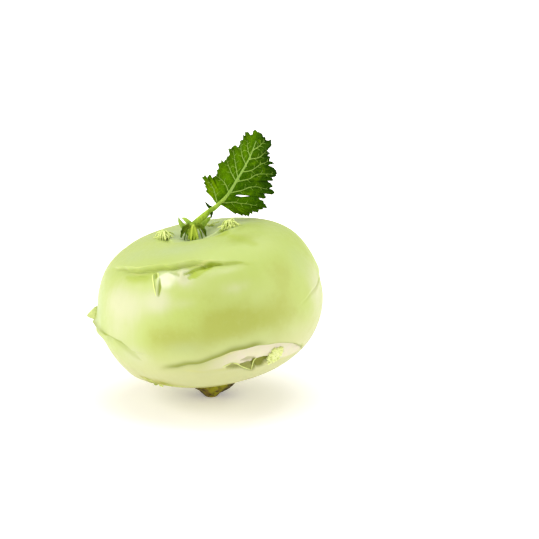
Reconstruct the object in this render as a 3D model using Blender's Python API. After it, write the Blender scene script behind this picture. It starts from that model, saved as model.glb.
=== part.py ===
"""A kohlrabi as picked: a swollen stem ringed by leaf scars, its trimmed root, a leaf and a sprout.

Metres, +Z up, seen from -Y with +X to the right. The origin is the middle of the root's cut flat,
which rests on the ground. The bulb leans towards -X, and its azimuths are in degrees from -Y
towards +X. Its arcs are lengths along the skin from the crown.
"""

import math
import random
from collections import namedtuple

import bmesh
import bpy
import numpy as np
from mathutils import Vector
from mathutils.bvhtree import BVHTree

MM = 0.001
GAP = 0.3 * MM  # clearance between neighbouring pieces

# The plain bulb: (r / RADIUS) ** fullness + (z / height) ** 2 = 1, above and below its widest girth.
RADIUS = 45.6 * MM
CROWN_HEIGHT = 29.5 * MM
BASE_HEIGHT = 29.3 * MM
CROWN_FULLNESS = 4.6
BASE_FULLNESS = 3.3
LEAN = math.radians(10.3)
BULB_CENTRE = Vector((0.6 * MM, 0.0, 39.1 * MM))

# The crown's hollow, and the shoulders beside it.
HOLLOW_DEPTH = 3.2 * MM
HOLLOW_WIDTH = 9.0 * MM
SHOULDER_RISE = 1.1 * MM
SHOULDER_WIDTH = 9.0 * MM

# A leaf scar's ridge: a lip along its upper side, which falls off steeply into a groove below.
LIP_WIDTH = 4.2 * MM
GROOVE_WIDTH = 3.2 * MM
RIM_RISE = 0.6 * MM
RIM_WIDTH = 0.9 * MM
STEP_WIDTH = 0.6 * MM

# Leaves grew at every turn of the golden angle, from the root up. Each scar holds its nudge off that
# rule, its arc, how far its ridge reaches to each side (degrees), how far it drops there (mm), its
# tilt (mm for each degree), its lip, groove and flat face (mm), and the torn petiole end left on it:
# how far below the ridge it stands, its stub's radius (mm) and how many frayed fingers it has.
GOLDEN_ANGLE = -137.5
FIRST_AZIMUTH = 85.5
Scar = namedtuple(
    "Scar",
    "nudge arc left right left_fall right_fall tilt lip groove face perch stub fingers",
)
SCARS = (
    Scar(0.0, 99.0, 60.0, 60.0, 4.0, 4.0, 0.00, 0.5, 0.9, 0.0, 1.4, 1.4, 3),
    Scar(5.0, 87.0, 46.0, 74.0, 5.0, 3.0, 0.10, 0.9, 1.1, 0.0, 1.5, 1.5, 4),
    Scar(0.0, 82.0, 64.0, 60.0, 6.0, 8.0, 0.02, 0.8, 1.2, 3.0, 3.2, 1.5, 5),
    Scar(2.0, 75.6, 68.0, 28.0, 10.8, 8.0, 0.14, 1.5, 1.9, 12.0, 8.8, 2.3, 7),
    Scar(14.0, 63.5, 52.0, 60.0, 8.0, 8.0, 0.00, 1.7, 1.3, 0.0, -3.6, 2.3, 5),
    Scar(2.0, 57.0, 78.0, 58.0, 8.0, 6.0, 0.00, 0.6, 0.9, 2.0, 2.6, 1.5, 5),
    Scar(-2.5, 34.8, 58.0, 54.0, 2.3, 6.5, 0.00, 1.0, 1.9, 0.0, 0.0, 0.0, 0),
    Scar(0.0, 30.0, 50.0, 52.0, 4.0, 3.0, 0.00, 0.6, 1.2, 0.0, 1.3, 1.3, 5),
    Scar(6.5, 12.5, 62.0, 60.0, 0.0, 0.0, 0.06, 0.9, 0.9, 0.0, 1.4, 1.2, 9),
    Scar(-12.5, 12.0, 40.0, 40.0, 1.0, 1.0, 0.00, 0.4, 0.8, 0.0, 1.2, 1.1, 7),
    Scar(0.0, 11.0, 36.0, 36.0, 1.0, 1.0, 0.00, 0.3, 0.6, 0.0, 1.0, 1.0, 5),
)
TORN_SCAR = 6  # the scar under whose ridge the skin hangs torn in strips

# The bulb's mesh is raised on a fine grid and then thinned where it is smooth.
STEM_COLUMNS = 480
STEM_ROWS = 264
STEM_TRIANGLES = 8200

# The trimmed root: height, offset in X and half widths of its rings.
ROOT_SIDES = 28
ROOT_RINGS = (
    (0.0 * MM, 0.0 * MM, 3.3 * MM, 4.3 * MM),
    (0.9 * MM, 0.0 * MM, 4.0 * MM, 5.0 * MM),
    (3.0 * MM, 0.6 * MM, 4.5 * MM, 5.4 * MM),
    (5.6 * MM, 1.6 * MM, 5.6 * MM, 6.2 * MM),
    (7.8 * MM, 2.2 * MM, 6.8 * MM, 7.2 * MM),
)
ROOT_TOP_HALF_WIDTH = 7.6 * MM
ROOT_ROUGHNESS = 0.09

# The leaf lies in a plane that leans back from the crown. Its points are mm right of and above the
# bulb's centre in that plane, and its margins hold where along the midrib their rib starts.
LEAF_LEAN = math.radians(19.0)
LEAF_SETBACK = 5.5 * MM
LEAF_RISE = 1.5 * MM
STALK = ((-8.6, 27.6), (-6.6, 30.7), (-3.6, 33.7), (0.4, 37.2))
MIDRIB = (
    (1.7, 37.9),
    (6.9, 42.8),
    (11.1, 49.4),
    (14.5, 55.1),
    (16.7, 59.4),
    (19.0, 65.2),
    (19.4, 68.6),
)
LEFT_MARGIN = (
    (-1.5, 45.0, 0.07),
    (-2.1, 50.0, 0.085),
    (0.5, 50.4, 0.12),
    (3.7, 55.0, 0.22),
    (5.3, 57.5, 0.36),
    (8.1, 61.4, 0.43),
    (10.5, 62.7, 0.49),
    (13.9, 67.3, 0.68),
    (16.5, 68.3, 0.84),
)
RIGHT_MARGIN = (
    (10.3, 35.7, 0.07),
    (15.4, 34.9, 0.085),
    (19.0, 35.9, 0.10),
    (22.1, 37.7, 0.12),
    (21.6, 40.7, 0.15),
    (11.4, 41.9, 0.17),
    (21.3, 42.8, 0.19),
    (25.8, 44.4, 0.26),
    (22.9, 49.8, 0.36),
    (26.5, 51.8, 0.43),
    (25.5, 56.1, 0.52),
    (24.2, 59.5, 0.60),
    (25.0, 64.9, 0.76),
    (22.5, 67.6, 0.90),
)
BLADE_THICKNESS = 0.65 * MM
BLADE_ROWS = 76
BLADE_RIBS = 6
BLADE_FOLD = 0.16
BLADE_WAVE = 1.3 * MM
TOOTH_HEIGHT = 0.75 * MM
TOOTH_LENGTH = 2.1 * MM
STALK_SIDES = 8
STALK_RADIUS = 1.45 * MM
MIDRIB_TIP_RADIUS = 0.42 * MM

# The sprout at the growing point: a short core with leaflets that rise from it and droop over. Each
# leaflet holds its azimuth, length, half width (mm) and droop.
SPROUT_AZIMUTH = -90.0
SPROUT_ARC = 2.0 * MM
SPROUT_RADIUS = 1.4 * MM
SPROUT_HEIGHT = 5.6 * MM
LEAFLET_START = 4.0 * MM
LEAFLETS = (
    (-74.0, 4.6, 1.9, 1.0),
    (-26.0, 3.8, 1.1, 1.1),
    (14.0, 3.8, 1.1, 1.1),
    (58.0, 4.8, 1.8, 0.9),
    (104.0, 3.4, 1.2, 0.3),
    (-112.0, 2.8, 1.1, 0.2),
)
LEAFLET_THICKNESS = 0.8 * MM
LEAFLET_RINGS = 6

STEM_COLOUR = (0.62, 0.72, 0.26)
ROOT_COLOUR = (0.20, 0.14, 0.04)
LEAF_COLOUR = (0.07, 0.22, 0.012)
SPROUT_COLOUR = (0.10, 0.22, 0.02)


def clear_scene():
    for obj in list(bpy.data.objects):
        bpy.data.objects.remove(obj, do_unlink=True)


def material(name, colour, roughness):
    made = bpy.data.materials.new(name)
    made.use_nodes = True
    shader = made.node_tree.nodes["Principled BSDF"]
    shader.inputs["Base Color"].default_value = (*colour, 1.0)
    shader.inputs["Roughness"].default_value = roughness
    shader.inputs["Metallic"].default_value = 0.0
    return made


def new_object(name, vertices, faces):
    mesh = bpy.data.meshes.new(name)
    mesh.from_pydata([tuple(v) for v in vertices], [], faces)
    obj = bpy.data.objects.new(name, mesh)
    bpy.context.scene.collection.objects.link(obj)
    turn_outwards(obj)
    return obj


def turn_outwards(obj):
    work = bmesh.new()
    work.from_mesh(obj.data)
    bmesh.ops.recalc_face_normals(work, faces=work.faces)
    work.to_mesh(obj.data)
    work.free()


def triangulate(obj):
    work = bmesh.new()
    work.from_mesh(obj.data)
    bmesh.ops.triangulate(work, faces=work.faces)
    work.to_mesh(obj.data)
    work.free()


def apply_modifier(obj, modifier):
    bpy.context.view_layer.objects.active = obj
    bpy.ops.object.modifier_apply(modifier=modifier.name)


def fuse(obj, pieces):
    """Joins the pieces to the object as one solid, and removes them."""
    group = bpy.data.collections.new("fused")
    bpy.context.scene.collection.children.link(group)
    for piece in pieces:
        group.objects.link(piece)
    union = obj.modifiers.new("union", "BOOLEAN")
    union.operation = "UNION"
    union.operand_type = "COLLECTION"
    union.collection = group
    union.solver = "EXACT"
    apply_modifier(obj, union)
    for piece in pieces:
        bpy.data.objects.remove(piece, do_unlink=True)
    bpy.data.collections.remove(group)


def smoothstep(low, high, value):
    share = np.clip((value - low) / (high - low), 0.0, 1.0)
    return share * share * (3.0 - 2.0 * share)


# The bulb's form


def bulb_profile(samples=400):
    """Arc, radius, height and the outward normal's two parts, from crown to root."""
    share = 1.0 - (1.0 - np.linspace(0.0, 1.0, samples)) ** 2
    upper = CROWN_HEIGHT * np.sqrt(np.clip(1.0 - share**CROWN_FULLNESS, 0.0, 1.0))
    lower = -BASE_HEIGHT * np.sqrt(np.clip(1.0 - share**BASE_FULLNESS, 0.0, 1.0))
    radius = np.concatenate([RADIUS * share, RADIUS * share[-2::-1]])
    height = np.concatenate([upper, lower[-2::-1]])
    steps = np.hypot(np.diff(radius), np.diff(height))
    arc = np.concatenate([[0.0], np.cumsum(steps)])
    along_radius = np.gradient(radius, arc)
    along_height = np.gradient(height, arc)
    return arc, radius, height, -along_height, along_radius


ARC, PLAIN_RADIUS, PLAIN_HEIGHT, NORMAL_OUT, NORMAL_UP = bulb_profile()
FULL_ARC = float(ARC[-1])


def scar_azimuth(index):
    turned = FIRST_AZIMUTH + index * GOLDEN_ANGLE + SCARS[index].nudge
    return (turned + 180.0) % 360.0 - 180.0


def scar_offsets(index, azimuth, arc):
    """How far each point lies below a scar's ridge, and how strong the ridge is there."""
    scar = SCARS[index]
    turn = (azimuth - scar_azimuth(index) + 180.0) % 360.0 - 180.0
    share = np.where(turn < 0.0, -turn / scar.left, turn / scar.right)
    fall = np.where(turn < 0.0, scar.left_fall, scar.right_fall)
    line = (scar.arc + scar.tilt * turn + fall * share**2) * MM
    strength = np.clip(1.0 - share**2, 0.0, 1.0) ** 1.3
    return arc - line, strength


def scar_relief(index, azimuth, arc):
    scar = SCARS[index]
    below, strength = scar_offsets(index, azimuth, arc)
    face = scar.face * MM * strength
    lip = scar.lip * MM * np.exp(-np.abs(below) / LIP_WIDTH)
    depth = np.clip(below - face, 0.0, None)
    groove = scar.groove * MM * np.exp(-((depth / GROOVE_WIDTH) ** 1.5))
    under = smoothstep(-STEP_WIDTH, STEP_WIDTH, below)
    edge = np.exp(-(((below - face - RIM_WIDTH) / RIM_WIDTH) ** 2))
    rim = RIM_RISE * edge * (scar.face > 0.0)
    return strength * (lip * (1.0 - under) - groove * under + rim)


def mound(azimuth, arc, at_azimuth, at_arc, rise, width):
    """A soft round rise of the skin."""
    turn = np.radians((azimuth - at_azimuth + 180.0) % 360.0 - 180.0)
    girth = np.interp(at_arc, ARC, PLAIN_RADIUS)
    away = np.hypot(turn * np.maximum(girth, arc * 0.8), arc - at_arc)
    return rise * np.exp(-((away / width) ** 2))


def relief(azimuth, arc):
    """How far the skin stands off the plain bulb."""
    total = sum(scar_relief(index, azimuth, arc) for index in range(len(SCARS)))
    fade = smoothstep(0.0, 4.0 * MM, arc)
    total = total * fade - HOLLOW_DEPTH * np.exp(-((arc / HOLLOW_WIDTH) ** 2))
    for index in (8, 9):
        at_azimuth = scar_azimuth(index)
        at_arc = (SCARS[index].arc + 4.0) * MM
        total = total + mound(
            azimuth, arc, at_azimuth, at_arc, SHOULDER_RISE, SHOULDER_WIDTH
        )
    swell = np.sin(np.radians(2.0 * azimuth + 40.0)) * np.sin(np.pi * arc / FULL_ARC)
    return total + 0.35 * MM * swell


def leaned(radius, azimuth, height):
    """World coordinates of points given round the bulb's own axis."""
    turn = np.radians(azimuth)
    x = radius * np.sin(turn)
    y = -radius * np.cos(turn)
    world_x = math.cos(LEAN) * x - math.sin(LEAN) * height + BULB_CENTRE.x
    world_z = math.sin(LEAN) * x + math.cos(LEAN) * height + BULB_CENTRE.z
    return np.stack([world_x, y + BULB_CENTRE.y, world_z], axis=-1)


def skin(azimuth, arc, raised=0.0):
    """World coordinates of the skin, raised by a height over it."""
    azimuth = np.asarray(azimuth, dtype=float)
    arc = np.asarray(arc, dtype=float)
    off = relief(azimuth, arc) + raised
    radius = np.interp(arc, ARC, PLAIN_RADIUS) + off * np.interp(arc, ARC, NORMAL_OUT)
    height = np.interp(arc, ARC, PLAIN_HEIGHT) + off * np.interp(arc, ARC, NORMAL_UP)
    return leaned(np.maximum(radius, 0.0), azimuth, height)


def skin_frame(azimuth, arc):
    """A point of the skin with its outward, rightward and crownward directions."""
    at = Vector(skin(azimuth, arc))
    out = (Vector(skin(azimuth, arc, MM)) - at).normalized()
    right = Vector(leaned(1.0, azimuth + 90.0, 0.0)) - Vector(leaned(0.0, 0.0, 0.0))
    right = (right - out * right.dot(out)).normalized()
    return at, out, right, out.cross(right) * -1.0


def grid_faces(rows, columns):
    """Quads of a grid that closes round its columns."""
    faces = []
    for row in range(rows - 1):
        for column in range(columns):
            after = (column + 1) % columns
            low, high = row * columns, (row + 1) * columns
            faces.append((low + column, low + after, high + after, high + column))
    return faces


def pole_fans(rows, columns):
    """Triangles from the two poles, which follow the grid's vertices."""
    top, bottom = rows * columns, rows * columns + 1
    last = (rows - 1) * columns
    fans = []
    for column in range(columns):
        after = (column + 1) % columns
        fans.append((top, after, column))
        fans.append((bottom, last + column, last + after))
    return fans


def bulb():
    azimuths = np.linspace(-180.0, 180.0, STEM_COLUMNS, endpoint=False)
    arcs = np.linspace(0.0, FULL_ARC, STEM_ROWS + 2)[1:-1]
    arc_grid, azimuth_grid = np.meshgrid(arcs, azimuths, indexing="ij")
    points = skin(azimuth_grid, arc_grid).reshape(-1, 3)
    poles = [skin(0.0, 0.0), skin(0.0, FULL_ARC)]
    faces = grid_faces(STEM_ROWS, STEM_COLUMNS) + pole_fans(STEM_ROWS, STEM_COLUMNS)
    obj = new_object("swollen_stem", np.concatenate([points, poles]), faces)
    triangulate(obj)
    thin = obj.modifiers.new("thin", "DECIMATE")
    thin.ratio = STEM_TRIANGLES / len(obj.data.polygons)
    apply_modifier(obj, thin)
    return obj


# Torn petiole ends


def directions(centres):
    """The way a line through the centres runs at each of them."""
    along = [(centres[1] - centres[0]).normalized()]
    for before, after in zip(centres[:-2], centres[2:]):
        along.append((after - before).normalized())
    along.append((centres[-1] - centres[-2]).normalized())
    return along


def tube(name, centres, radii, sides, flatness=1.0):
    """A closed tube through the centres. Its section is flattened towards the first bend."""
    along = directions(centres)
    side = along[0].orthogonal().normalized()
    vertices = []
    for centre, direction, radius in zip(centres, along, radii):
        side = (side - direction * side.dot(direction)).normalized()
        across = direction.cross(side)
        for step in range(sides):
            turn = math.tau * step / sides
            offset = side * math.cos(turn) + across * (math.sin(turn) * flatness)
            vertices.append(centre + offset * radius)
    faces = grid_faces(len(centres), sides)
    faces.append(tuple(reversed(range(sides))))
    faces.append(tuple(range(len(vertices) - sides, len(vertices))))
    return new_object(name, vertices, faces)


def torn_end(at, direction, droop, length, radius):
    """One frayed finger of fibre, sunk well into what it grows from."""
    start = at - direction * (1.4 * MM)
    middle = at + direction * (length * 0.55) + droop * (length * 0.12)
    tip = at + direction * (length * 0.8) + droop * (length * 0.6)
    radii = (radius, radius * 0.8, radius * 0.3)
    return tube("torn_end", [start, middle, tip], radii, 5, 0.7)


def tuft(index, draw):
    """The petiole end on one scar: fingers that splay out round a short stub."""
    scar = SCARS[index]
    at, out, right, up = skin_frame(scar_azimuth(index), (scar.arc + scar.perch) * MM)
    stub = scar.stub * MM
    pieces = [torn_end(at, out, up * 0.0, 1.4 * stub, stub)]
    for step in range(scar.fingers):
        turn = math.tau * (step + draw.uniform(-0.25, 0.25)) / scar.fingers
        spread = right * math.cos(turn) + up * math.sin(turn)
        foot = at + spread * (stub * 0.75)
        direction = (out + spread * draw.uniform(0.35, 0.8)).normalized()
        droop = spread * draw.uniform(0.5, 1.0) - out * draw.uniform(0.2, 0.5)
        length = draw.uniform(2.4, 3.6) * MM
        radius = stub * draw.uniform(0.36, 0.5)
        pieces.append(torn_end(foot, direction, droop, length, radius))
    return pieces


def torn_strip(azimuth, top_arc, length, width, lean_turn):
    """A strip of skin that has come away below the ridge and hangs down over the flesh."""
    centres, radii = [], []
    for share in (0.0, 0.35, 0.7, 1.0):
        raised = (-0.9, 0.5, 0.7, -0.2)[round(share * 3)]
        arc = (top_arc + length * share) * MM
        centres.append(Vector(skin(azimuth + lean_turn * share, arc, raised * MM)))
        radii.append((1.0, 0.9, 0.7, 0.4)[round(share * 3)] * width * MM)
    return tube("torn_strip", centres, radii, 6, 0.75)


def torn_patch():
    """The two strips that frame the open flesh under the torn scar's ridge."""
    azimuth = scar_azimuth(TORN_SCAR)
    arc = SCARS[TORN_SCAR].arc
    return [
        torn_strip(azimuth - 9.0, arc + 0.5, 10.5, 0.9, 5.0),
        torn_strip(azimuth - 1.0, arc + 1.0, 5.5, 1.3, -1.5),
        torn_strip(azimuth + 11.0, arc + 1.0, 6.5, 0.9, 1.0),
    ]


def swollen_stem():
    draw = random.Random(11)
    obj = bulb()
    pieces = torn_patch()
    for index in range(len(SCARS)):
        if SCARS[index].fingers:
            pieces += tuft(index, draw)
    fuse(obj, pieces)
    obj.data.materials.clear()
    obj.data.materials.append(material("waxy_skin", STEM_COLOUR, 0.42))
    return obj


def surface_under(obj):
    """A function for the height of the object's lowest or highest face over a point of the ground."""
    tree = BVHTree.FromObject(obj, bpy.context.evaluated_depsgraph_get())

    def height(x, y, upwards):
        start = Vector((x, y, -0.01 if upwards else 0.2))
        direction = Vector((0.0, 0.0, 1.0 if upwards else -1.0))
        return tree.ray_cast(start, direction)[0].z

    return height


# The trimmed root


def root_stub(height_over):
    draw = random.Random(5)
    bumps = [1.0 + draw.uniform(-ROOT_ROUGHNESS, ROOT_ROUGHNESS) for _ in range(ROOT_SIDES)]
    vertices = []
    for height, offset, half_x, half_y in ROOT_RINGS:
        for step in range(ROOT_SIDES):
            turn = math.tau * step / ROOT_SIDES
            reach = bumps[step] if height > 0.0 else 1.0
            x = offset + half_x * reach * math.cos(turn)
            vertices.append(Vector((x, half_y * reach * math.sin(turn), height)))
    top_offset = ROOT_RINGS[-1][1]
    for share in (1.0, 0.6, 0.25):
        for step in range(ROOT_SIDES):
            turn = math.tau * step / ROOT_SIDES
            reach = ROOT_TOP_HALF_WIDTH * share * bumps[step]
            x = top_offset + reach * math.cos(turn)
            y = reach * math.sin(turn)
            vertices.append(Vector((x, y, height_over(x, y, True) - GAP)))
    rings = len(ROOT_RINGS) + 3
    faces = grid_faces(rings, ROOT_SIDES)
    faces.append(tuple(reversed(range(ROOT_SIDES))))
    faces.append(tuple(range((rings - 1) * ROOT_SIDES, rings * ROOT_SIDES)))
    obj = new_object("root_stub", vertices, faces)
    obj.data.materials.append(material("root_bark", ROOT_COLOUR, 0.8))
    return obj


# The leaf


def leaf_place(across, up, forward=0.0):
    """World coordinates of a point of the leaf's plane, moved towards the viewer by forward."""
    facing = Vector((0.0, -math.cos(LEAF_LEAN), math.sin(LEAF_LEAN)))
    rising = Vector((0.0, math.sin(LEAF_LEAN), math.cos(LEAF_LEAN)))
    start = BULB_CENTRE + Vector((0.0, -LEAF_SETBACK, LEAF_RISE))
    return start + Vector((across, 0.0, 0.0)) + rising * up + facing * forward


def at_shares(points, shares):
    """Points of the midrib at shares of its length."""
    points = np.array(points, dtype=float)
    steps = np.hypot(*np.diff(points, axis=0).T)
    length = np.concatenate([[0.0], np.cumsum(steps)])
    length /= length[-1]
    return np.stack([np.interp(shares, length, points[:, c]) for c in (0, 1)], axis=1)


def margin_at(points, shares):
    """Points of one margin, where the ribs that start at these shares of the midrib end."""
    points = np.array((*points, (*MIDRIB[-1], 1.0)), dtype=float)
    return np.stack([np.interp(shares, points[:, 2], points[:, c]) for c in (0, 1)], axis=1)


def row_shares():
    """Starts of the ribs along the midrib, spaced so that the longer margin moves on evenly."""
    fine = np.linspace(LEFT_MARGIN[0][2], 1.0, 4000)
    steps = [
        np.hypot(*np.diff(margin_at(side, fine), axis=0).T)
        for side in (LEFT_MARGIN, RIGHT_MARGIN)
    ]
    length = np.concatenate([[0.0], np.cumsum(np.maximum(*steps))])
    return np.interp(np.linspace(0.0, length[-1], BLADE_ROWS), length, fine)


def ribs(points, shares):
    """Vectors from the midrib to one toothed margin."""
    start = at_shares(MIDRIB, shares)
    rib = margin_at(points, shares) - start
    reach = np.hypot(rib[:, 0], rib[:, 1])
    steps = np.hypot(*np.diff(margin_at(points, shares), axis=0).T)
    phase = np.concatenate([[0.0], np.cumsum(steps)]) * MM / TOOTH_LENGTH
    saw = np.abs((phase % 1.0) - 0.5) * 2.0 - 0.5
    ease = np.sin(np.linspace(0.0, math.pi, len(shares))) ** 0.4
    grown = 1.0 + saw * ease * (TOOTH_HEIGHT / MM) / np.maximum(reach, 2.0)
    return rib * grown[:, None]


def blade_forward(distance, share, row_share, side):
    """The blade's relief: folded back from the midrib, with a margin that waves."""
    fold = -BLADE_FOLD * distance
    wave = BLADE_WAVE * share**2 * math.sin(math.tau * (3.4 * row_share + 0.23 * side))
    back = -1.6 * MM * row_share**3 * share
    return fold + wave + back


def half_row(start, rib, row_share, side):
    """The points of one row on one side of the midrib, outwards."""
    points = []
    for step in range(1, BLADE_RIBS + 1):
        share = step / BLADE_RIBS
        across, up = (start + rib * share) * MM
        distance = math.hypot(*rib) * share * MM
        forward = blade_forward(distance, share, row_share, side)
        points.append(leaf_place(across, up, forward))
    return points


def blade_rows():
    """Each row's points from the left margin over the midrib to the right margin."""
    shares = row_shares()
    starts = at_shares(MIDRIB, shares)
    left, right = ribs(LEFT_MARGIN, shares), ribs(RIGHT_MARGIN, shares)
    rows = []
    for row in range(BLADE_ROWS - 1):
        row_share = row / (BLADE_ROWS - 1)
        middle = leaf_place(*(starts[row] * MM))
        outwards_left = half_row(starts[row], left[row], row_share, -1)
        outwards_right = half_row(starts[row], right[row], row_share, 1)
        rows.append(outwards_left[::-1] + [middle] + outwards_right)
    return rows


def blade():
    """The blade as one sheet of even thickness, split alike on both faces."""
    rows = blade_rows()
    width = len(rows[0])
    facing = Vector((0.0, -math.cos(LEAF_LEAN), math.sin(LEAF_LEAN)))
    sheet = [point for row in rows for point in row]
    front = [point + facing * (BLADE_THICKNESS / 2.0) for point in sheet]
    rear = [point - facing * (BLADE_THICKNESS / 2.0) for point in sheet]
    tip = leaf_place(MIDRIB[-1][0] * MM, MIDRIB[-1][1] * MM, -1.0 * MM)
    tips = [tip + facing * (side * BLADE_THICKNESS / 2.0) for side in (1.0, -1.0)]
    return new_object("blade", front + rear + tips, blade_faces(len(rows), width, len(sheet)))


def blade_faces(rows, width, count):
    """Triangles of the front, the same ones on the rear, and the rim that joins them."""
    front = []
    for row in range(rows - 1):
        for column in range(width - 1):
            a = row * width + column
            b, c, d = a + 1, a + width + 1, a + width
            if column < width // 2:
                front += [(a, b, c), (a, c, d)]
            else:
                front += [(a, b, d), (b, c, d)]
    front_tip, rear_tip = 2 * count, 2 * count + 1
    last = (rows - 1) * width
    fan = [(last + c, last + c + 1, front_tip) for c in range(width - 1)]
    front += fan
    rear_of = {front_tip: rear_tip}
    rear = [tuple(rear_of.get(v, v + count) for v in reversed(f)) for f in front]
    rim = [row * width for row in range(rows)]
    rim += [front_tip]
    rim += [row * width + width - 1 for row in reversed(range(rows))]
    rim += list(reversed(range(1, width - 1)))
    edge = []
    for at, after in zip(rim, rim[1:] + rim[:1]):
        edge.append((at, after, rear_of.get(after, after + count)))
        edge.append((at, rear_of.get(after, after + count), rear_of.get(at, at + count)))
    return front + rear + edge


def stalk(height_over):
    """The petiole and the midrib, as one tapering tube whose foot follows the crown."""
    points = [leaf_place(a * MM, b * MM, 0.0) for a, b in STALK + MIDRIB[:-1]]
    radii = np.interp(
        np.linspace(0.0, 1.0, len(points)),
        (0.0, 0.3, 0.45, 1.0),
        (1.25 * STALK_RADIUS, STALK_RADIUS, 0.85 * STALK_RADIUS, MIDRIB_TIP_RADIUS),
    )
    obj = tube("leaf", points, radii, STALK_SIDES)
    for vertex in list(obj.data.vertices)[:STALK_SIDES]:
        x, y, _ = vertex.co
        vertex.co.z = height_over(x, y, False) + GAP
    return obj


def ears():
    """The two small hooked ears at the head of the petiole."""
    pieces = []
    for path in (
        ((0.9, 37.6), (-0.6, 38.6), (-1.9, 40.2)),
        ((0.4, 37.0), (0.5, 35.4), (0.2, 33.6)),
    ):
        points = [leaf_place(a * MM, b * MM, 0.0) for a, b in path]
        radii = (0.9 * MM, 0.65 * MM, 0.3 * MM)
        pieces.append(tube("ear", points, radii, 5, 0.8))
    return pieces


def leaf(height_over):
    obj = stalk(height_over)
    fuse(obj, [blade()] + ears())
    obj.data.materials.clear()
    obj.data.materials.append(material("leaf_green", LEAF_COLOUR, 0.5))
    return obj


# The sprout


def leaflet(at, azimuth, length, width, droop):
    """A young leaf that rises from the core and droops over, with a lens-shaped section."""
    turn = math.radians(azimuth)
    out = Vector((math.sin(turn), -math.cos(turn), 0.0))
    across = Vector((math.cos(turn), math.sin(turn), 0.0))
    shares = [step / (LEAFLET_RINGS - 1) for step in range(LEAFLET_RINGS)]
    centres = []
    for share in shares:
        rise = 2.4 * MM * math.sin(share * 2.4) - droop * 4.2 * MM * share**2
        reach = 0.5 * MM + (length - 0.5 * MM) * share
        centres.append(at + out * reach + Vector((0.0, 0.0, rise)))
    vertices = []
    for centre, along, share in zip(centres, directions(centres), shares):
        half = width * math.sin(math.pi * (0.14 + 0.8 * share))
        facing = along.cross(across) * (LEAFLET_THICKNESS / 2.0)
        vertices += [centre - across * half, centre + facing]
        vertices += [centre + across * half, centre - facing]
    faces = grid_faces(LEAFLET_RINGS, 4)
    faces.append((3, 2, 1, 0))
    faces.append(tuple(range(len(vertices) - 4, len(vertices))))
    return new_object("leaflet", vertices, faces)


def crown_sprout(height_over):
    at, _, _, _ = skin_frame(SPROUT_AZIMUTH, SPROUT_ARC)
    foot = Vector((at.x, at.y, at.z))
    centres = [foot + Vector((0.0, 0.0, h)) for h in (0.6 * MM, 2.4 * MM, SPROUT_HEIGHT)]
    radii = (SPROUT_RADIUS, SPROUT_RADIUS * 0.95, SPROUT_RADIUS * 0.5)
    obj = tube("crown_sprout", centres, radii, 8)
    for vertex in list(obj.data.vertices)[:8]:
        x, y, _ = vertex.co
        vertex.co.z = height_over(x, y, False) + GAP
    pieces = []
    for azimuth, length, width, droop in LEAFLETS:
        start = foot + Vector((0.0, 0.0, LEAFLET_START - 0.1 * MM * len(pieces)))
        pieces.append(leaflet(start, azimuth, length * MM, width * MM, droop))
    fuse(obj, pieces)
    obj.data.materials.clear()
    obj.data.materials.append(material("sprout_green", SPROUT_COLOUR, 0.5))
    return obj


def main():
    clear_scene()
    stem = swollen_stem()
    height_over = surface_under(stem)
    root_stub(height_over)
    leaf(height_over)
    crown_sprout(height_over)


main()
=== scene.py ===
"""The looks of a kohlrabi as picked: skin with leaf scars, torn petiole ends, root, leaf, sprout.

Metres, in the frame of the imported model: +Z up, seen from -Y with +X to the right. The bulb's
azimuths are in degrees from -Y towards +X, and its arcs are lengths along the skin from the crown.
"""

import math
import random
from collections import namedtuple
from itertools import pairwise

import bpy
import numpy as np
from mathutils import Matrix, Vector, noise
from mathutils.bvhtree import BVHTree


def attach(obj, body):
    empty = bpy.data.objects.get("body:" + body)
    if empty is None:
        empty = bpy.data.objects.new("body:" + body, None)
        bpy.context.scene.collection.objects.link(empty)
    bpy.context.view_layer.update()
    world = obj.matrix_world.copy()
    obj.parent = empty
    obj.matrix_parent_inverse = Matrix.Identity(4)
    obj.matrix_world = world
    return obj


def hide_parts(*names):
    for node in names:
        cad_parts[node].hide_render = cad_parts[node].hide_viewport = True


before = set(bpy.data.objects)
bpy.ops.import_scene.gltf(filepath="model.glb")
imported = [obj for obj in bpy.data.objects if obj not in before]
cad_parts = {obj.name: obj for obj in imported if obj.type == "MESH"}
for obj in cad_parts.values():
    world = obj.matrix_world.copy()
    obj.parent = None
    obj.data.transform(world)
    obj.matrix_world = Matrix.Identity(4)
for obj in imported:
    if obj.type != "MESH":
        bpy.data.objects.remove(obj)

MM = 0.001
UP = Vector((0.0, 0.0, 1.0))

# The plain bulb: (r / RADIUS) ** fullness + (z / height) ** 2 = 1, above and below its girth.
RADIUS = 45.6 * MM
CROWN_HEIGHT = 29.5 * MM
BASE_HEIGHT = 29.3 * MM
CROWN_FULLNESS = 4.6
BASE_FULLNESS = 3.3
LEAN = math.radians(10.3)
BULB_CENTRE = Vector((0.6 * MM, 0.0, 39.1 * MM))

# The crown's hollow, the shoulders below its scars, and the swell that makes the bulb less round.
HOLLOW_DEPTH = 3.2 * MM
HOLLOW_WIDTH = 9.0 * MM
SHOULDER_RISE = 1.1 * MM
SHOULDER_WIDTH = 9.0 * MM
SHOULDER_DROP = 4.0 * MM
CROWN_CALM = 4.0 * MM  # the arc over which the ridges fade in
SWELL_RISE = 0.35 * MM
SWELL_AZIMUTH = 40.0

# A leaf scar's ridge: a lip along its upper side, which falls off steeply into a groove below.
LIP_WIDTH = 4.2 * MM
GROOVE_WIDTH = 3.2 * MM
RIM_RISE = 0.6 * MM
RIM_WIDTH = 0.9 * MM
STEP_WIDTH = 0.6 * MM

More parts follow.
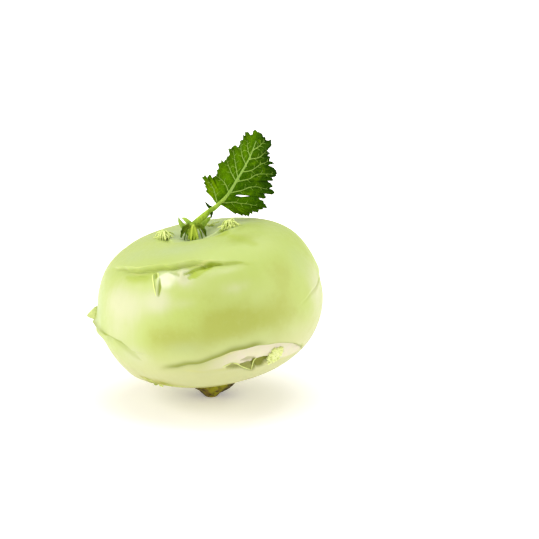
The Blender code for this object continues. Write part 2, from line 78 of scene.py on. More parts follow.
# Leaves grew at every turn of the golden angle, from the root up. Each scar holds its nudge off
# that rule, its arc, how far its ridge reaches to each side (degrees), how far it drops there (mm),
# its tilt (mm for each degree), its lip, groove and flat face (mm), and the torn petiole end left
# on it: how far below the ridge it stands, its stub's radius (mm) and how many fingers it has.
GOLDEN_ANGLE = -137.5
FIRST_AZIMUTH = 85.5
Scar = namedtuple(
    "Scar",
    "nudge arc left right left_fall right_fall tilt lip groove face perch stub fingers",
)
SCARS = (
    Scar(0.0, 99.0, 60.0, 60.0, 4.0, 4.0, 0.00, 0.5, 0.9, 0.0, 1.4, 1.4, 3),
    Scar(5.0, 87.0, 46.0, 74.0, 5.0, 3.0, 0.10, 0.9, 1.1, 0.0, 1.5, 1.5, 4),
    Scar(0.0, 82.0, 64.0, 60.0, 6.0, 8.0, 0.02, 0.8, 1.2, 3.0, 3.2, 1.5, 5),
    Scar(2.0, 75.6, 64.0, 30.0, 10.8, 9.5, 0.15, 1.5, 1.9, 12.0, 8.8, 2.3, 7),
    Scar(14.0, 63.5, 52.0, 60.0, 8.0, 8.0, 0.00, 1.7, 1.3, 0.0, -3.6, 2.3, 5),
    Scar(2.0, 57.0, 78.0, 58.0, 8.0, 6.0, 0.00, 0.6, 0.9, 2.0, 2.6, 1.5, 5),
    Scar(-2.5, 34.8, 58.0, 54.0, 2.3, 6.5, 0.00, 1.0, 1.9, 0.0, 0.0, 0.0, 0),
    Scar(0.0, 30.0, 50.0, 52.0, 4.0, 3.0, 0.00, 0.6, 1.2, 0.0, 1.3, 1.3, 5),
    Scar(6.5, 12.5, 62.0, 60.0, 0.0, 0.0, 0.06, 0.9, 0.9, 0.0, 1.4, 1.2, 9),
    Scar(-12.5, 12.0, 40.0, 40.0, 1.0, 1.0, 0.00, 0.4, 0.8, 0.0, 1.2, 1.1, 7),
    Scar(0.0, 11.0, 36.0, 36.0, 1.0, 1.0, 0.00, 0.3, 0.6, 0.0, 1.0, 1.0, 5),
)
TORN_SCAR = 6  # the scar under whose ridge the skin hangs torn in strips
KNOB_SCAR = 3  # the scar with the widest pale face
CROWN_SCARS = (8, 9)
LEFT_STUB = 4  # the scar whose stub shows at the left edge, worn to a short point

# A petiole end's stub: how wide (shares of its radius) and how pale each of its rings is.
STUB_ROOT = 1.4 * MM  # how deep it starts under the skin
STUB_WIDE = (1.1, 1.1, 1.05, 1.0, 0.96, 0.9, 0.84, 0.66, 0.3)
STUB_TIPS = (0.1, 0.1, 0.1, 0.2, 0.3, 0.3, 0.35, 0.3, 0.2)
WORN_WIDE = (1.5, 1.45, 1.35, 1.2, 1.0, 0.8, 0.6, 0.38, 0.12)
WORN_TIPS = (0.1, 0.2, 0.3, 0.35, 0.4, 0.4, 0.4, 0.4, 0.4)
CROWN_TIPS = (0.6,) * 9
CROWN_TUFT_SCALE = 1.2
WORN_TUFT_SCALE = 0.4
CROWN_CRUMBS = 8
SPLITS = 5  # fibres at the end of each finger
SPLIT_RADII = (0.3, 0.32, 0.3, 0.24, 0.16, 0.07)
SPLIT_TIPS = (0.7, 0.8, 0.9, 1.0, 1.0, 1.0)

# The fibres of a crown tuft arch over: shares of their height and reach along the arch.
FOUNTAIN_FIBRES = 19
FOUNTAIN_HEIGHT = 3.6 * MM
FOUNTAIN_REACH = 3.2 * MM
FOUNTAIN_FOOT = 0.5 * MM
FOUNTAIN_ARCH = ((0.75, 0.2), (1.0, 0.45), (0.6, 0.85), (0.1, 1.0))
FOUNTAIN_RADII = ((0.0, 0.5, 0.8, 1.0), (0.4, 0.4, 0.34, 0.1))  # mm at shares of the length

# The pale crumbly knob on the wide face: rings of crumbs, each with a count, reach and size (mm)
# and how pale they are.
KNOB_AZIMUTH = 34.8
KNOB_ARC = 83.4 * MM
KNOB_RINGS = ((17, 3.1, 0.62, 0.8), (14, 2.3, 0.72, 0.9), (9, 1.4, 0.62, 0.65), (4, 0.5, 0.5, 0.2))
KNOB_BASE = 1.0 * MM  # the reach and the size of the crumbs under them
KNOB_BASE_CRUMBS = 12
KNOB_WIDE = 1.15
KNOB_TALL = 1.3

# Strands of torn skin: points of azimuth, arc and height over the skin (mm); radius (mm); paleness.
TORN_STRANDS = (
    (((-30.5, 36.8, -0.2), (-29.0, 39.0, 0.3), (-26.8, 43.1, 0.25), (-25.2, 47.8, -0.1)), 0.3, 0.9),
    (((-28.0, 36.6, -0.2), (-25.6, 38.0, 0.35), (-24.6, 40.0, 0.0)), 0.28, 0.8),
    (((2.0, 80.6, 0.0), (4.6, 79.8, 0.2), (7.6, 79.3, 0.1)), 0.2, 0.9),
    (((7.8, 79.4, 0.1), (10.6, 81.0, 0.2), (13.2, 83.6, 0.2), (18.8, 86.9, 0.0)), 0.24, 0.9),
    (((22.4, 80.8, 0.0), (20.8, 83.4, 0.5), (18.8, 86.9, 0.1)), 0.26, 0.95),
    (((-50.0, 83.4, 0.0), (-42.0, 87.6, 0.3), (-30.0, 91.4, 0.3), (-12.0, 94.4, 0.1)), 0.3, 0.6),
)

# Where the ridges' lines bend off their arches: scar, azimuth, drop (mm) and half width (degrees).
LINE_BENDS = (
    (3, -20.0, 0.6, 8.0),
    (3, -8.0, 1.3, 11.0),
    (3, 4.0, -0.8, 8.0),
    (3, 24.0, -1.3, 12.0),
    (3, 47.0, 1.0, 8.0),
    (4, -58.0, -0.8, 10.0),
    (6, -5.0, -1.0, 7.0),
    (6, 30.0, 1.2, 8.0),
)

# Small hollows and swellings of the skin: azimuth, arc, rise, half width and half height (mm).
Dent = namedtuple("Dent", "azimuth arc rise wide tall")
PITS = (
    Dent(-5.5, 40.0, -0.5, 1.6, 1.8),
    Dent(19.0, 82.2, -0.5, 7.0, 2.6),
)
TORN_CORE = Dent(-19.0, 40.6, 0.0, 4.2, 4.0)
SWELLINGS = (
    Dent(-91.0, 65.8, 3.0, 7.0, 3.8),
    Dent(-19.0, 39.8, 1.3, 3.9, 3.0),
    Dent(-10.3, 39.0, 1.0, 2.0, 3.0),
    Dent(-40.0, 40.0, 0.35, 7.0, 3.0),
    Dent(12.0, 43.0, 0.3, 9.0, 4.0),
)

# Broad patches of the skin's colour, and of painted highlights, shade and reflection: azimuth,
# arc, strength, half width and half height (mm).
# Paler skin together with painted highlights: on the left side, over the front and at the right
# edge.
PALE_AND_HIGHLIGHT_PATCHES = (
    Dent(-48.0, 50.0, 1.0, 13.0, 8.0),
    Dent(-24.0, 49.0, 0.8, 6.0, 5.0),
    Dent(-54.0, 62.0, 0.5, 10.0, 6.0),
    Dent(-9.0, 40.5, 0.9, 3.0, 3.5),
    Dent(-2.0, 44.0, 0.3, 7.0, 4.0),
    Dent(-44.0, 72.0, 0.7, 9.0, 5.0),
    Dent(-10.0, 51.0, 0.35, 5.0, 2.5),
    Dent(16.5, 49.0, 0.4, 6.0, 2.5),
    Dent(-10.5, 38.8, 1.0, 2.2, 3.2),
    Dent(14.0, 41.5, 0.4, 7.0, 1.8),
    Dent(70.0, 62.0, 0.8, 9.0, 13.0),
    Dent(48.0, 73.0, 0.15, 9.0, 4.0),
    Dent(160.0, 55.0, 0.7, 22.0, 12.0),
)
# Olive skin together with painted shade, darkest in a band across the front below the middle.
OLIVE_AND_SHADE_PATCHES = (
    Dent(12.0, 61.0, 0.9, 16.0, 7.0),
    Dent(3.0, 59.0, 0.5, 5.0, 4.0),
    Dent(-14.0, 66.0, 0.9, 11.0, 5.0),
    Dent(-34.0, 69.5, 0.35, 7.0, 5.0),
    Dent(45.0, 60.0, 0.35, 8.0, 9.0),
    Dent(36.0, 28.0, 0.3, 8.0, 6.0),
    Dent(-27.0, 62.0, 0.55, 7.0, 4.5),
    Dent(32.0, 64.0, 0.6, 9.0, 6.0),
    Dent(6.0, 50.0, 0.35, 5.0, 4.0),
    Dent(46.0, 47.0, 0.35, 9.0, 7.0),
    Dent(-125.0, 60.0, 0.7, 20.0, 9.0),
)
SHADE_PATCHES = (
    Dent(62.0, 20.0, 0.25, 4.0, 1.8),
    Dent(38.0, 28.0, 0.15, 6.0, 2.6),
)
# Grey wax bloom together with a painted reflection of the pale surroundings.
WAX_AND_REFLECTION_PATCHES = (
    Dent(-20.0, 24.0, 0.7, 12.0, 6.0),
    Dent(-62.0, 30.0, 0.4, 9.0, 5.0),
    Dent(-80.0, 56.0, 0.8, 9.0, 9.0),
    Dent(-14.0, 68.0, 0.4, 8.0, 3.0),
    Dent(-50.0, 72.0, 0.3, 9.0, 5.0),
    Dent(62.0, 48.0, 0.35, 7.0, 7.0),
)

# Fine marks in the skin, painted shade and painted highlights among them: the tint that each
# has, its strength, its rise (mm), and its line as points of azimuth, arc and half width (mm).
Stroke = namedtuple("Stroke", "tint amount rise line")
STROKE_EDGE = 0.35  # how soft a stroke's edge is, in mm
STAIN_EDGE = 0.9  # the same where it has no relief, as a share of its half width
STROKES = (
    # The torn patch, and the fold on its right.
    Stroke("shade", 0.9, -0.7, ((-23.6, 40.4, 0.3), (-23.3, 43.5, 0.6), (-23.9, 46.6, 0.35))),
    Stroke("shade", 0.8, -0.5, ((-28.4, 37.2, 0.3), (-26.8, 39.2, 0.7))),
    Stroke("shade", 0.5, -0.4, ((-18.0, 37.8, 0.3), (-14.2, 39.0, 0.8), (-11.8, 40.0, 0.4))),
    # Deeper green with painted shade under the lip.
    Stroke(
        "deep_green_and_shade", 0.95, -0.3,
        ((-6.0, 41.2, 0.9), (-3.4, 40.2, 1.9), (0.5, 38.9, 1.7), (7.0, 37.6, 0.8)),
    ),
    Stroke(
        "shade", 0.95, -0.4,
        ((-8.8, 39.8, 0.4), (-6.0, 38.7, 0.7), (-2.5, 37.6, 0.9), (3.0, 37.1, 0.9)),
    ),
    Stroke(
        "shade", 0.85, -0.3,
        ((3.0, 37.1, 0.9), (7.5, 37.0, 0.7), (12.0, 37.8, 0.4), (16.0, 38.6, 0.0)),
    ),
    Stroke("shade", 0.35, 0.0, ((14.0, 38.2, 0.2), (20.0, 38.9, 0.8), (26.0, 40.2, 0.2))),
    # A painted highlight along the lip of the ridge.
    Stroke(
        "rim", 0.5, 0.1,
        ((-10.0, 35.6, 0.2), (-1.5, 35.6, 0.4), (7.5, 35.7, 0.35), (13.0, 36.9, 0.0)),
    ),
    # The left end of the same ridge.
    # Deeper green with painted shade under its lip.
    Stroke("deep_green_and_shade", 0.6, 0.0, ((-50.0, 39.3, 0.9), (-42.0, 39.8, 1.7), (-33.5, 39.8, 1.9))),
    Stroke("shade", 0.3, -0.15, ((-41.0, 38.4, 0.2), (-38.0, 38.6, 0.6), (-34.0, 38.8, 0.4))),
    # A painted highlight along its lip.
    Stroke("rim", 0.4, 0.15, ((-50.0, 37.0, 0.2), (-41.0, 37.5, 0.45), (-34.5, 36.8, 0.2))),
    # The three small cavities in the pale face, darkened with painted shade.
    Stroke("pit_shade", 0.7, -0.5, ((4.6, 81.4, 0.5), (7.8, 81.3, 1.4), (11.0, 82.8, 0.5))),
    Stroke("pit_shade", 0.5, -0.6, ((13.0, 79.6, 0.5), (16.5, 79.9, 1.3), (20.0, 80.9, 0.9))),
    Stroke("pit_shade", 0.85, -0.6, ((12.6, 82.8, 0.9), (16.0, 83.6, 1.8), (19.4, 85.2, 1.8))),
    Stroke("pit_shade", 1.0, -0.9, ((21.8, 83.6, 2.0), (24.8, 84.2, 2.5), (28.8, 83.8, 1.6))),
    Stroke(
        "rim", 0.5, 0.0,
        ((-3.0, 76.1, 0.2), (6.0, 74.3, 0.45), (11.0, 73.8, 0.45), (17.0, 73.6, 0.0)),
    ),
    Stroke("shade", 0.4, 0.0, ((36.0, 80.6, 0.3), (38.4, 81.8, 1.1), (41.5, 83.4, 0.3))),
    Stroke("shade", 0.45, -0.2, ((19.0, 73.8, 0.2), (26.0, 73.5, 0.7), (33.5, 74.2, 0.2))),
    Stroke("shade", 0.35, -0.2, ((45.0, 79.0, 0.2), (52.0, 81.6, 1.1), (60.0, 85.5, 0.5))),
    # The fold that runs in from the stub on the left, and the one under it.
    Stroke(
        "shade", 0.65, -0.3,
        (
            (-72.0, 62.9, 0.2), (-60.0, 63.9, 0.5), (-51.0, 65.4, 0.55),
            (-46.5, 67.5, 0.45), (-42.5, 70.2, 0.0),
        ),
    ),
    Stroke(
        "shade", 0.28, 0.0,
        ((-60.0, 65.6, 0.4), (-51.0, 67.6, 1.5), (-45.0, 70.6, 1.3), (-41.0, 73.0, 0.2)),
    ),
    Stroke("shade", 0.8, -0.25, ((-49.0, 82.0, 0.0), (-46.5, 85.0, 0.5), (-43.0, 87.4, 0.0))),
    # Yellow olive along the lowest scars, and painted shade along the underside where it nears the
    # floor.
    Stroke(
        "straw_and_shade", 0.95, 0.0,
        (
            (-52.0, 82.8, 0.6), (-45.5, 85.4, 1.9), (-37.0, 87.4, 2.9), (-28.0, 91.6, 3.0),
            (-11.0, 96.0, 2.2), (6.0, 97.5, 2.2), (22.0, 95.5, 1.2),
        ),
    ),
    Stroke("shade", 0.35, -0.3, ((-38.0, 85.8, 0.6), (-35.0, 87.0, 1.3), (-32.0, 89.0, 0.6))),
    # The shoulder below the right tuft of the crown, and the painted shadow in the hollow behind
    # it.
    # Deeper green with painted shade below the tuft.
    Stroke(
        "deep_green_and_shade", 0.85, 0.0,
        ((60.0, 11.0, 0.8), (45.0, 15.5, 1.8), (37.0, 17.6, 2.0), (29.0, 16.6, 0.8)),
    ),
    Stroke("deep_green_and_shade", 0.6, 0.0, ((38.0, 22.5, 1.8), (38.0, 28.0, 3.0), (41.0, 33.0, 1.6))),
    # Painted shadow in the crown's hollow.
    Stroke("hollow_shadow", 0.15, -0.1, ((132.0, 17.4, 0.4), (110.0, 21.4, 1.0), (95.0, 28.0, 0.4))),
)

# Painted shade along the folds: the scar that they follow, how far below its ridge and how wide
# they are (mm), the azimuths between which they show, and their strength.
SHADED_CREASES = (
    (3, -0.9, 1.2, -34.0, 28.0, 0.85),
    (3, -0.1, 0.55, -14.0, 62.0, 0.95),
    (4, -1.2, 1.4, -96.0, -60.0, 0.45),
    (1, -1.2, 0.5, -58.0, -36.0, 0.8),
    (6, 0.4, 0.4, -72.0, -52.0, 0.3),
    (3, 0.3, 0.45, 20.0, 36.0, 0.6),
)
CREASE_FADES = (14.0, 10.0)  # degrees over which a fold fades in and out

# Where the skin is gone: the sides of the wide pale face, between which azimuths it fades in and
# out, and the torn patch, with its half width (degrees), how fast that narrows and how it slants.
FACE_FADES = ((-12.0, 14.0), (56.0, 62.0))
TORN_AZIMUTH = -18.5
TORN_HALF = 10.5
TORN_NARROWING = 0.95
TORN_SLANT = 0.45
GROOVE_TINT_REACH = 2.2 * MM
RIM_LINE = 0.45 * MM
WAX_AZIMUTH = 150.0  # the side to which the crown's grey, wax bloom and painted reflection, reaches farthest
WAX_REACH = (17.0, 6.0, 3.0)  # mm at least, more on that side, more by noise

# The skin's mesh: its columns lie closer together over the front, and its rows at the ridges.
SKIN_COLUMNS = 400
SKIN_ROWS = 244
FRONT_CROWDING = 1.6
FRONT_REACH = 62.0
RIDGE_CROWDING = 7.0
RIDGE_REACH = 1.3 * MM

# The trimmed root: height, offset in X and half widths of its rings (mm).
ROOT_RINGS = (
    (0.0, 0.4, 2.8, 3.8),
    (1.2, 0.6, 3.9, 4.7),
    (2.6, 0.8, 5.9, 5.6),
    (4.0, 0.9, 8.1, 6.9),
    (5.4, 1.0, 9.5, 8.0),
    (7.8, 1.2, 10.0, 8.8),
    (11.5, 1.4, 10.0, 9.3),
)
NECK_HEIGHTS = (3.6 * MM, 8.0 * MM)  # between them the bark turns into the bulb's skin
BARK_GRAIN = 2.6 * MM
BARK_RISE = (0.42, 0.22)  # mm of its lumps and of its streaks
ROOT_COLUMNS = 180
ROOT_ROWS = 90

# The leaf lies in a plane that leans back from the crown. Its points are mm right of and above the
# bulb's centre in that plane, and a margin's also hold where along the midrib their rib starts.
LEAF_LEAN = math.radians(19.0)
LEAF_FACING = Vector((0.0, -math.cos(LEAF_LEAN), math.sin(LEAF_LEAN)))
LEAF_RISING = Vector((0.0, math.sin(LEAF_LEAN), math.cos(LEAF_LEAN)))
LEAF_SETBACK = 5.5 * MM
LEAF_RISE = 1.5 * MM
STALK = ((-8.6, 27.6), (-6.6, 30.7), (-3.6, 33.7), (0.4, 37.2))
MIDRIB = (
    (1.7, 37.9), (6.9, 42.8), (11.1, 49.4), (14.5, 55.1), (16.7, 59.4), (19.0, 65.2), (19.4, 69.2),
)
LEFT_MARGIN = (
    (1.8, 40.9, 0.050), (0.4, 43.3, 0.055), (-0.1, 44.5, 0.060), (-1.8, 45.0, 0.066),
    (-0.8, 46.1, 0.070), (-2.1, 46.9, 0.075), (-1.2, 47.6, 0.080), (-2.6, 48.4, 0.085),
    (-1.3, 49.0, 0.090), (-3.2, 50.4, 0.096), (-1.6, 51.5, 0.105), (-1.1, 50.2, 0.115),
    (-0.2, 52.0, 0.125), (0.6, 51.5, 0.135), (0.2, 50.5, 0.145), (1.4, 50.9, 0.155),
    (2.5, 51.7, 0.170), (3.0, 52.4, 0.185), (2.9, 53.9, 0.205), (3.8, 54.3, 0.222),
    (3.1, 56.4, 0.252), (4.4, 56.5, 0.285), (4.9, 57.7, 0.320), (5.7, 56.8, 0.338),
    (6.8, 58.2, 0.360), (7.0, 59.1, 0.382), (8.2, 60.0, 0.405), (7.6, 62.6, 0.428),
    (8.8, 62.7, 0.457), (9.5, 63.9, 0.483), (10.7, 64.2, 0.519), (11.6, 63.0, 0.543),
    (12.5, 64.5, 0.567), (12.3, 65.6, 0.595), (13.6, 66.1, 0.632), (13.6, 67.7, 0.669),
    (14.5, 67.7, 0.712), (14.4, 69.0, 0.739), (15.4, 69.5, 0.796), (16.2, 69.3, 0.831),
    (16.4, 68.0, 0.861), (17.6, 68.4, 0.891), (17.7, 69.7, 0.916), (18.7, 70.0, 0.968),
)
RIGHT_MARGIN = (
    (5.2, 39.9, 0.050), (6.1, 39.4, 0.056), (6.9, 38.5, 0.061), (8.4, 39.1, 0.065),
    (8.4, 37.2, 0.068), (9.6, 38.2, 0.071), (9.9, 36.5, 0.074), (10.3, 35.3, 0.077),
    (11.4, 37.3, 0.080), (11.9, 35.3, 0.083), (12.4, 37.0, 0.086), (13.1, 34.8, 0.089),
    (13.8, 36.6, 0.092), (14.4, 34.9, 0.095), (15.0, 36.4, 0.098), (15.9, 34.6, 0.101),
    (16.2, 36.5, 0.104), (17.2, 35.7, 0.107), (17.3, 36.9, 0.110), (18.4, 36.4, 0.113),
    (18.4, 37.7, 0.116), (19.5, 36.3, 0.119), (19.8, 37.6, 0.122), (21.6, 37.7, 0.126),
    (21.8, 38.6, 0.129), (23.3, 37.9, 0.132), (22.6, 39.4, 0.136), (21.6, 40.5, 0.140),
    (21.6, 41.1, 0.143), (20.3, 41.4, 0.146), (19.6, 42.7, 0.149), (17.7, 43.0, 0.153),
    (15.3, 42.6, 0.157), (13.1, 42.3, 0.161), (11.2, 42.7, 0.165), (10.0, 42.9, 0.172),
    (11.2, 43.2, 0.180), (13.1, 43.5, 0.200), (15.3, 43.2, 0.215), (17.6, 42.8, 0.228),
    (19.9, 42.7, 0.240), (21.7, 41.9, 0.250), (23.0, 42.3, 0.257), (22.1, 43.8, 0.265),
    (23.7, 44.5, 0.272), (25.3, 43.7, 0.280), (26.5, 44.7, 0.288), (25.7, 45.7, 0.297),
    (24.2, 46.5, 0.306), (25.8, 47.1, 0.314), (25.0, 48.4, 0.330), (23.9, 49.0, 0.345),
    (22.7, 50.0, 0.360), (23.8, 50.5, 0.374), (24.8, 49.9, 0.386), (25.8, 49.2, 0.394),
    (25.4, 50.8, 0.405), (26.8, 51.0, 0.420), (27.4, 52.5, 0.431), (26.6, 54.0, 0.462),
    (25.1, 54.9, 0.486), (23.9, 55.3, 0.500), (24.5, 56.1, 0.511), (26.4, 56.2, 0.520),
    (25.6, 57.0, 0.528), (24.1, 57.3, 0.548), (24.8, 58.9, 0.572), (23.6, 59.7, 0.595),
    (24.8, 60.8, 0.626), (23.5, 61.8, 0.651), (24.4, 62.9, 0.685), (25.4, 63.9, 0.720),
    (25.1, 66.2, 0.778), (23.8, 65.6, 0.796), (22.9, 66.1, 0.831), (22.7, 67.1, 0.863),
    (21.8, 66.9, 0.887), (21.7, 68.4, 0.927), (21.0, 68.9, 0.954), (19.9, 69.4, 0.987),
)
VEINS = (
    ((2.9, 40.4), (1.6, 45.6), (-0.4, 48.8)),
    ((8.0, 43.4), (7.2, 45.6), (6.2, 48.0), (4.0, 50.4), (2.4, 51.6)),
    ((11.0, 48.2), (10.0, 50.0), (8.6, 52.7), (7.2, 56.7), (6.7, 58.6)),
    ((11.9, 49.0), (11.2, 51.4), (10.6, 55.4), (9.9, 60.5), (9.7, 62.0)),
    ((15.0, 54.6), (14.3, 56.6), (13.3, 59.1), (12.8, 63.2), (13.0, 65.6)),
    ((16.7, 57.6), (16.2, 59.6), (15.6, 61.8), (15.4, 65.5)),
    ((4.2, 40.0), (6.6, 40.1), (9.6, 40.4), (11.9, 40.0), (15.3, 39.7), (19.2, 38.9)),
    ((7.4, 43.8), (10.0, 44.5), (13.3, 45.3), (16.0, 46.5), (19.4, 46.8), (23.6, 45.8)),
    ((10.6, 48.5), (13.0, 49.1), (16.3, 50.0), (19.0, 51.7), (23.0, 52.0), (25.8, 51.8)),
    ((13.2, 52.6), (15.4, 52.9), (17.7, 53.7), (20.4, 55.7), (24.0, 57.2)),
    ((15.6, 57.4), (17.2, 58.0), (19.4, 58.4), (21.0, 59.4), (23.4, 62.0)),
    ((17.2, 61.0), (18.4, 62.0), (20.0, 63.0), (22.4, 65.4)),
)
EARS = (
    ((1.0, 37.7), (-0.5, 38.7), (-1.2, 39.6), (-1.9, 40.5)),
    ((0.6, 37.0), (0.7, 35.8), (0.5, 34.9), (0.7, 34.0)),
)
EAR_RADII = (0.9, 0.9, 0.85, 0.75, 0.65, 0.6, 0.45, 0.35, 0.12)

# The blade: puffs between the veins, a fold along the midrib, waves and a finer frill at its rim
# (each with its height and how many there are), and a curl back at the top (left side, right side).
BLADE_ROWS = 520
BLADE_RIBS = 22
BLADE_THICKNESS = 0.40 * MM
BLADE_FOLD = 0.16
PUCKER_RISE = 0.9 * MM
PUCKER_WIDTH = 1.5  # mm, as the next lengths without a unit
CRINKLE = 0.42 * MM
CRINKLE_SIZE = 1.9
WAVE, WAVES = 1.3 * MM, 3.4
FRILL, FRILLS = 0.45 * MM, 12.0
CURLS = (1.2 * MM, 2.4 * MM)
TOOTH_HEIGHT = 0.42
TOOTH_LENGTH = 1.15
VEIN_SHADOW = 0.95  # how far the blade is darker on both sides of a vein
RISE_AT_SHARE = ((0.05, 0.17, 1.0), (0.0, 0.33, 1.0))  # height up the blade by where a rib starts

# Radii in mm: the stalk's and midrib's at shares of their length, those from end to end of a side
# vein and of a branch, and a sheath's. Branches leave a vein at some of its points.
STALK_TAPER = ((0.0, 0.1, 0.27, 0.5, 0.75, 1.0), (2.6, 1.8, 1.15, 0.68, 0.45, 0.22))
VEIN_POINTS = 16
VEIN_RADII = (0.29, 0.07)
VEIN_SUNK = 0.04 * MM
BRANCH_POINTS = (4, 6, 8, 10, 12, 14)
BRANCH_RADII = (0.11, 0.04)
SHEATH_TAPER = ((0, 4, 10, 13), (1.5, 1.45, 0.9, 0.15))

# Torn sheaths beside the foot of the leaf's stalk, in the leaf's plane.
SHEATHS = (
    ((-8.0, 27.6), (-10.4, 30.2), (-12.0, 32.4), (-12.7, 34.4)),
    ((-7.0, 29.6), (-8.6, 32.2), (-10.4, 33.8), (-11.6, 34.0)),
    ((-3.9, 29.8), (-2.6, 31.6), (-1.0, 33.2), (0.6, 34.8)),
)

# The sprout at the growing point. Each leaflet holds its azimuth, length, half width (mm), droop
# and how far it is twisted to face forwards (degrees).
SPROUT_AZIMUTH = -90.0
SPROUT_ARC = 2.0 * MM
SPROUT_RADIUS = 1.4 * MM
SPROUT_HEIGHT = 5.6 * MM
SPROUT_HEIGHTS = (-0.4 * MM, 1.2 * MM, 3.0 * MM, 4.6 * MM, SPROUT_HEIGHT)
LEAFLET_START = 4.0 * MM
LEAFLET_RISE = 2.4 * MM
LEAFLET_DROP = 4.2 * MM
LEAFLET_FOOT = 0.5 * MM
LEAFLET_THICKNESS = 0.16 * MM
LEAFLETS = (
    (-76.0, 5.0, 1.9, 1.0, 62.0),
    (-60.0, 4.2, 1.2, 1.3, 50.0),
    (58.0, 4.4, 1.3, 1.3, -52.0),
    (74.0, 5.2, 1.9, 0.9, -64.0),
    (104.0, 3.6, 1.3, 0.4, -50.0),
    (-112.0, 2.8, 1.1, 0.2, 40.0),
)
STRANDS = 9
STRAND_SPREAD = 92.0  # degrees across the front
STRAND_RADII = ((0.0, 0.3, 0.75, 1.0), (0.5, 0.66, 0.56, 0.12))

# The photograph: its size, the bulb's centre in it (pixels) and the camera that saw it.
PHOTO_SIZE = 539
BULB_PIXEL = (208.8, 302.0)
PIXELS_PER_METRE = 227.5 / 0.092
CAMERA_DISTANCE = 0.6
CAMERA_ELEVATION = math.radians(15.0)
SENSOR_WIDTH = 36.0


# Small helpers


def smoothstep(low, high, value):
    share = np.clip((value - low) / (high - low), 0.0, 1.0)
    return share * share * (3.0 - 2.0 * share)


def turned_from(azimuth, centre):
    """Degrees from a central azimuth, between -180 and 180."""
    return (azimuth - centre + 180.0) % 360.0 - 180.0


def running_total(steps):
    """The sum of the steps so far, from 0 on."""
    return np.concatenate([[0.0], np.cumsum(steps)])


def path_length(points):
    """The length run along a path, at each of its points."""
    return running_total(np.hypot(*np.diff(points, axis=0).T))


def spaced_by(density, places, shares):
    """Places at shares of the whole, lying closer together where the density is higher."""
    total = running_total((density[1:] + density[:-1]) / 2.0)
    return np.interp(shares, total / total[-1], places)


def around(azimuth):
    """The level direction at an azimuth, outwards and to its right."""
    turn = math.radians(azimuth)
    out = Vector((math.sin(turn), -math.cos(turn), 0.0))
    return out, Vector((math.cos(turn), math.sin(turn), 0.0))


def splayed(right, up, turn):
    """The direction at a turn from right towards up."""
    return right * math.cos(turn) + up * math.sin(turn)


def grid_faces(rows, columns):
    """Quads of a grid that closes round its columns."""
    faces = []
    for row in range(rows - 1):
        for column in range(columns):
            after = (column + 1) % columns
            low, high = row * columns, (row + 1) * columns
            faces.append((low + column, low + after, high + after, high + column))
    return faces


def closed_faces(rows, columns):
    """The faces of such a grid with both of its ends closed."""
    ends = [tuple(reversed(range(columns))), tuple(range((rows - 1) * columns, rows * columns))]
    return grid_faces(rows, columns) + ends


def directions(centres):
    """The way a line through the centres runs at each of them."""
    along = [(centres[1] - centres[0]).normalized()]
    for before, after in zip(centres[:-2], centres[2:]):
        along.append((after - before).normalized())
    along.append((centres[-1] - centres[-2]).normalized())
    return along


def curve_through(points, count):
    """Points at even steps along a smooth curve through the given ones."""
    points = [points[0] * 2.0 - points[1], *points, points[-1] * 2.0 - points[-2]]
    spans = len(points) - 3
    fine = []
    for step in range(8 * spans + 1):
        span = min(step // 8, spans - 1)
        t = step / 8.0 - span
        a, b, c, d = points[span : span + 4]
        even = a * (-t + 2 * t * t - t**3) + b * (2.0 - 5 * t * t + 3 * t**3)
        odd = c * (t + 4 * t * t - 3 * t**3) + d * (t**3 - t * t)
        fine.append((even + odd) * 0.5)
    length = running_total([(after - before).length for before, after in pairwise(fine)])
    wanted = np.linspace(0.0, length[-1], count)
    axes = np.array([tuple(point) for point in fine]).T
    return [Vector(place) for place in zip(*(np.interp(wanted, length, x) for x in axes))]


class Shape:
    """The vertices, faces and tints that are gathered for one piece."""

    def __init__(self, *tints):
        self.vertices = []
        self.faces = []
        self.tints = {name: [] for name in tints}

    def add(self, vertices, faces, **tints):
        start = len(self.vertices)
        self.vertices += [tuple(vertex) for vertex in vertices]
        self.faces += [tuple(start + corner for corner in face) for face in faces]
        for name, values in self.tints.items():
            given = tints.get(name, 0.0)
            if hasattr(given, "__len__"):
                values += [float(value) for value in given]
            else:
                values += [float(given)] * len(vertices)

    def tube(self, centres, radii, sides, flatness=1.0, side=None, **tints):
        """A closed tube. A tint may be one value or one for each ring."""
        along = directions(centres)
        side = side or along[0].orthogonal().normalized()
        vertices = []
        for centre, direction, radius in zip(centres, along, radii):
            side = (side - direction * side.dot(direction)).normalized()
            across = direction.cross(side)
            for step in range(sides):
                turn = math.tau * step / sides
                offset = side * math.cos(turn) + across * (math.sin(turn) * flatness)
                vertices.append(centre + offset * radius)
        spread = {}
        for name, value in tints.items():
            rings = value if hasattr(value, "__len__") else [value] * len(centres)
            spread[name] = [ring for ring in rings for _ in range(sides)]
        self.add(vertices, closed_faces(len(centres), sides), **spread)

    def piece(self, name, surface, slot, *nodes):
        """The gathered shape as a piece of the object that stands for CAD nodes."""
        mesh = bpy.data.meshes.new(name)
        mesh.from_pydata(self.vertices, [], self.faces)
        for tint, values in self.tints.items():
            layer = mesh.attributes.new(tint, "FLOAT", "POINT")
            layer.data.foreach_set("value", np.array(values, dtype=np.float32))
        mesh.polygons.foreach_set("use_smooth", [True] * len(mesh.polygons))
        mesh.materials.append(surface)
        obj = bpy.data.objects.new(name, mesh)
        bpy.context.scene.collection.objects.link(obj)
        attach(obj, "root")
        if nodes:
            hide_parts(*nodes)
        return obj


# The bulb's form


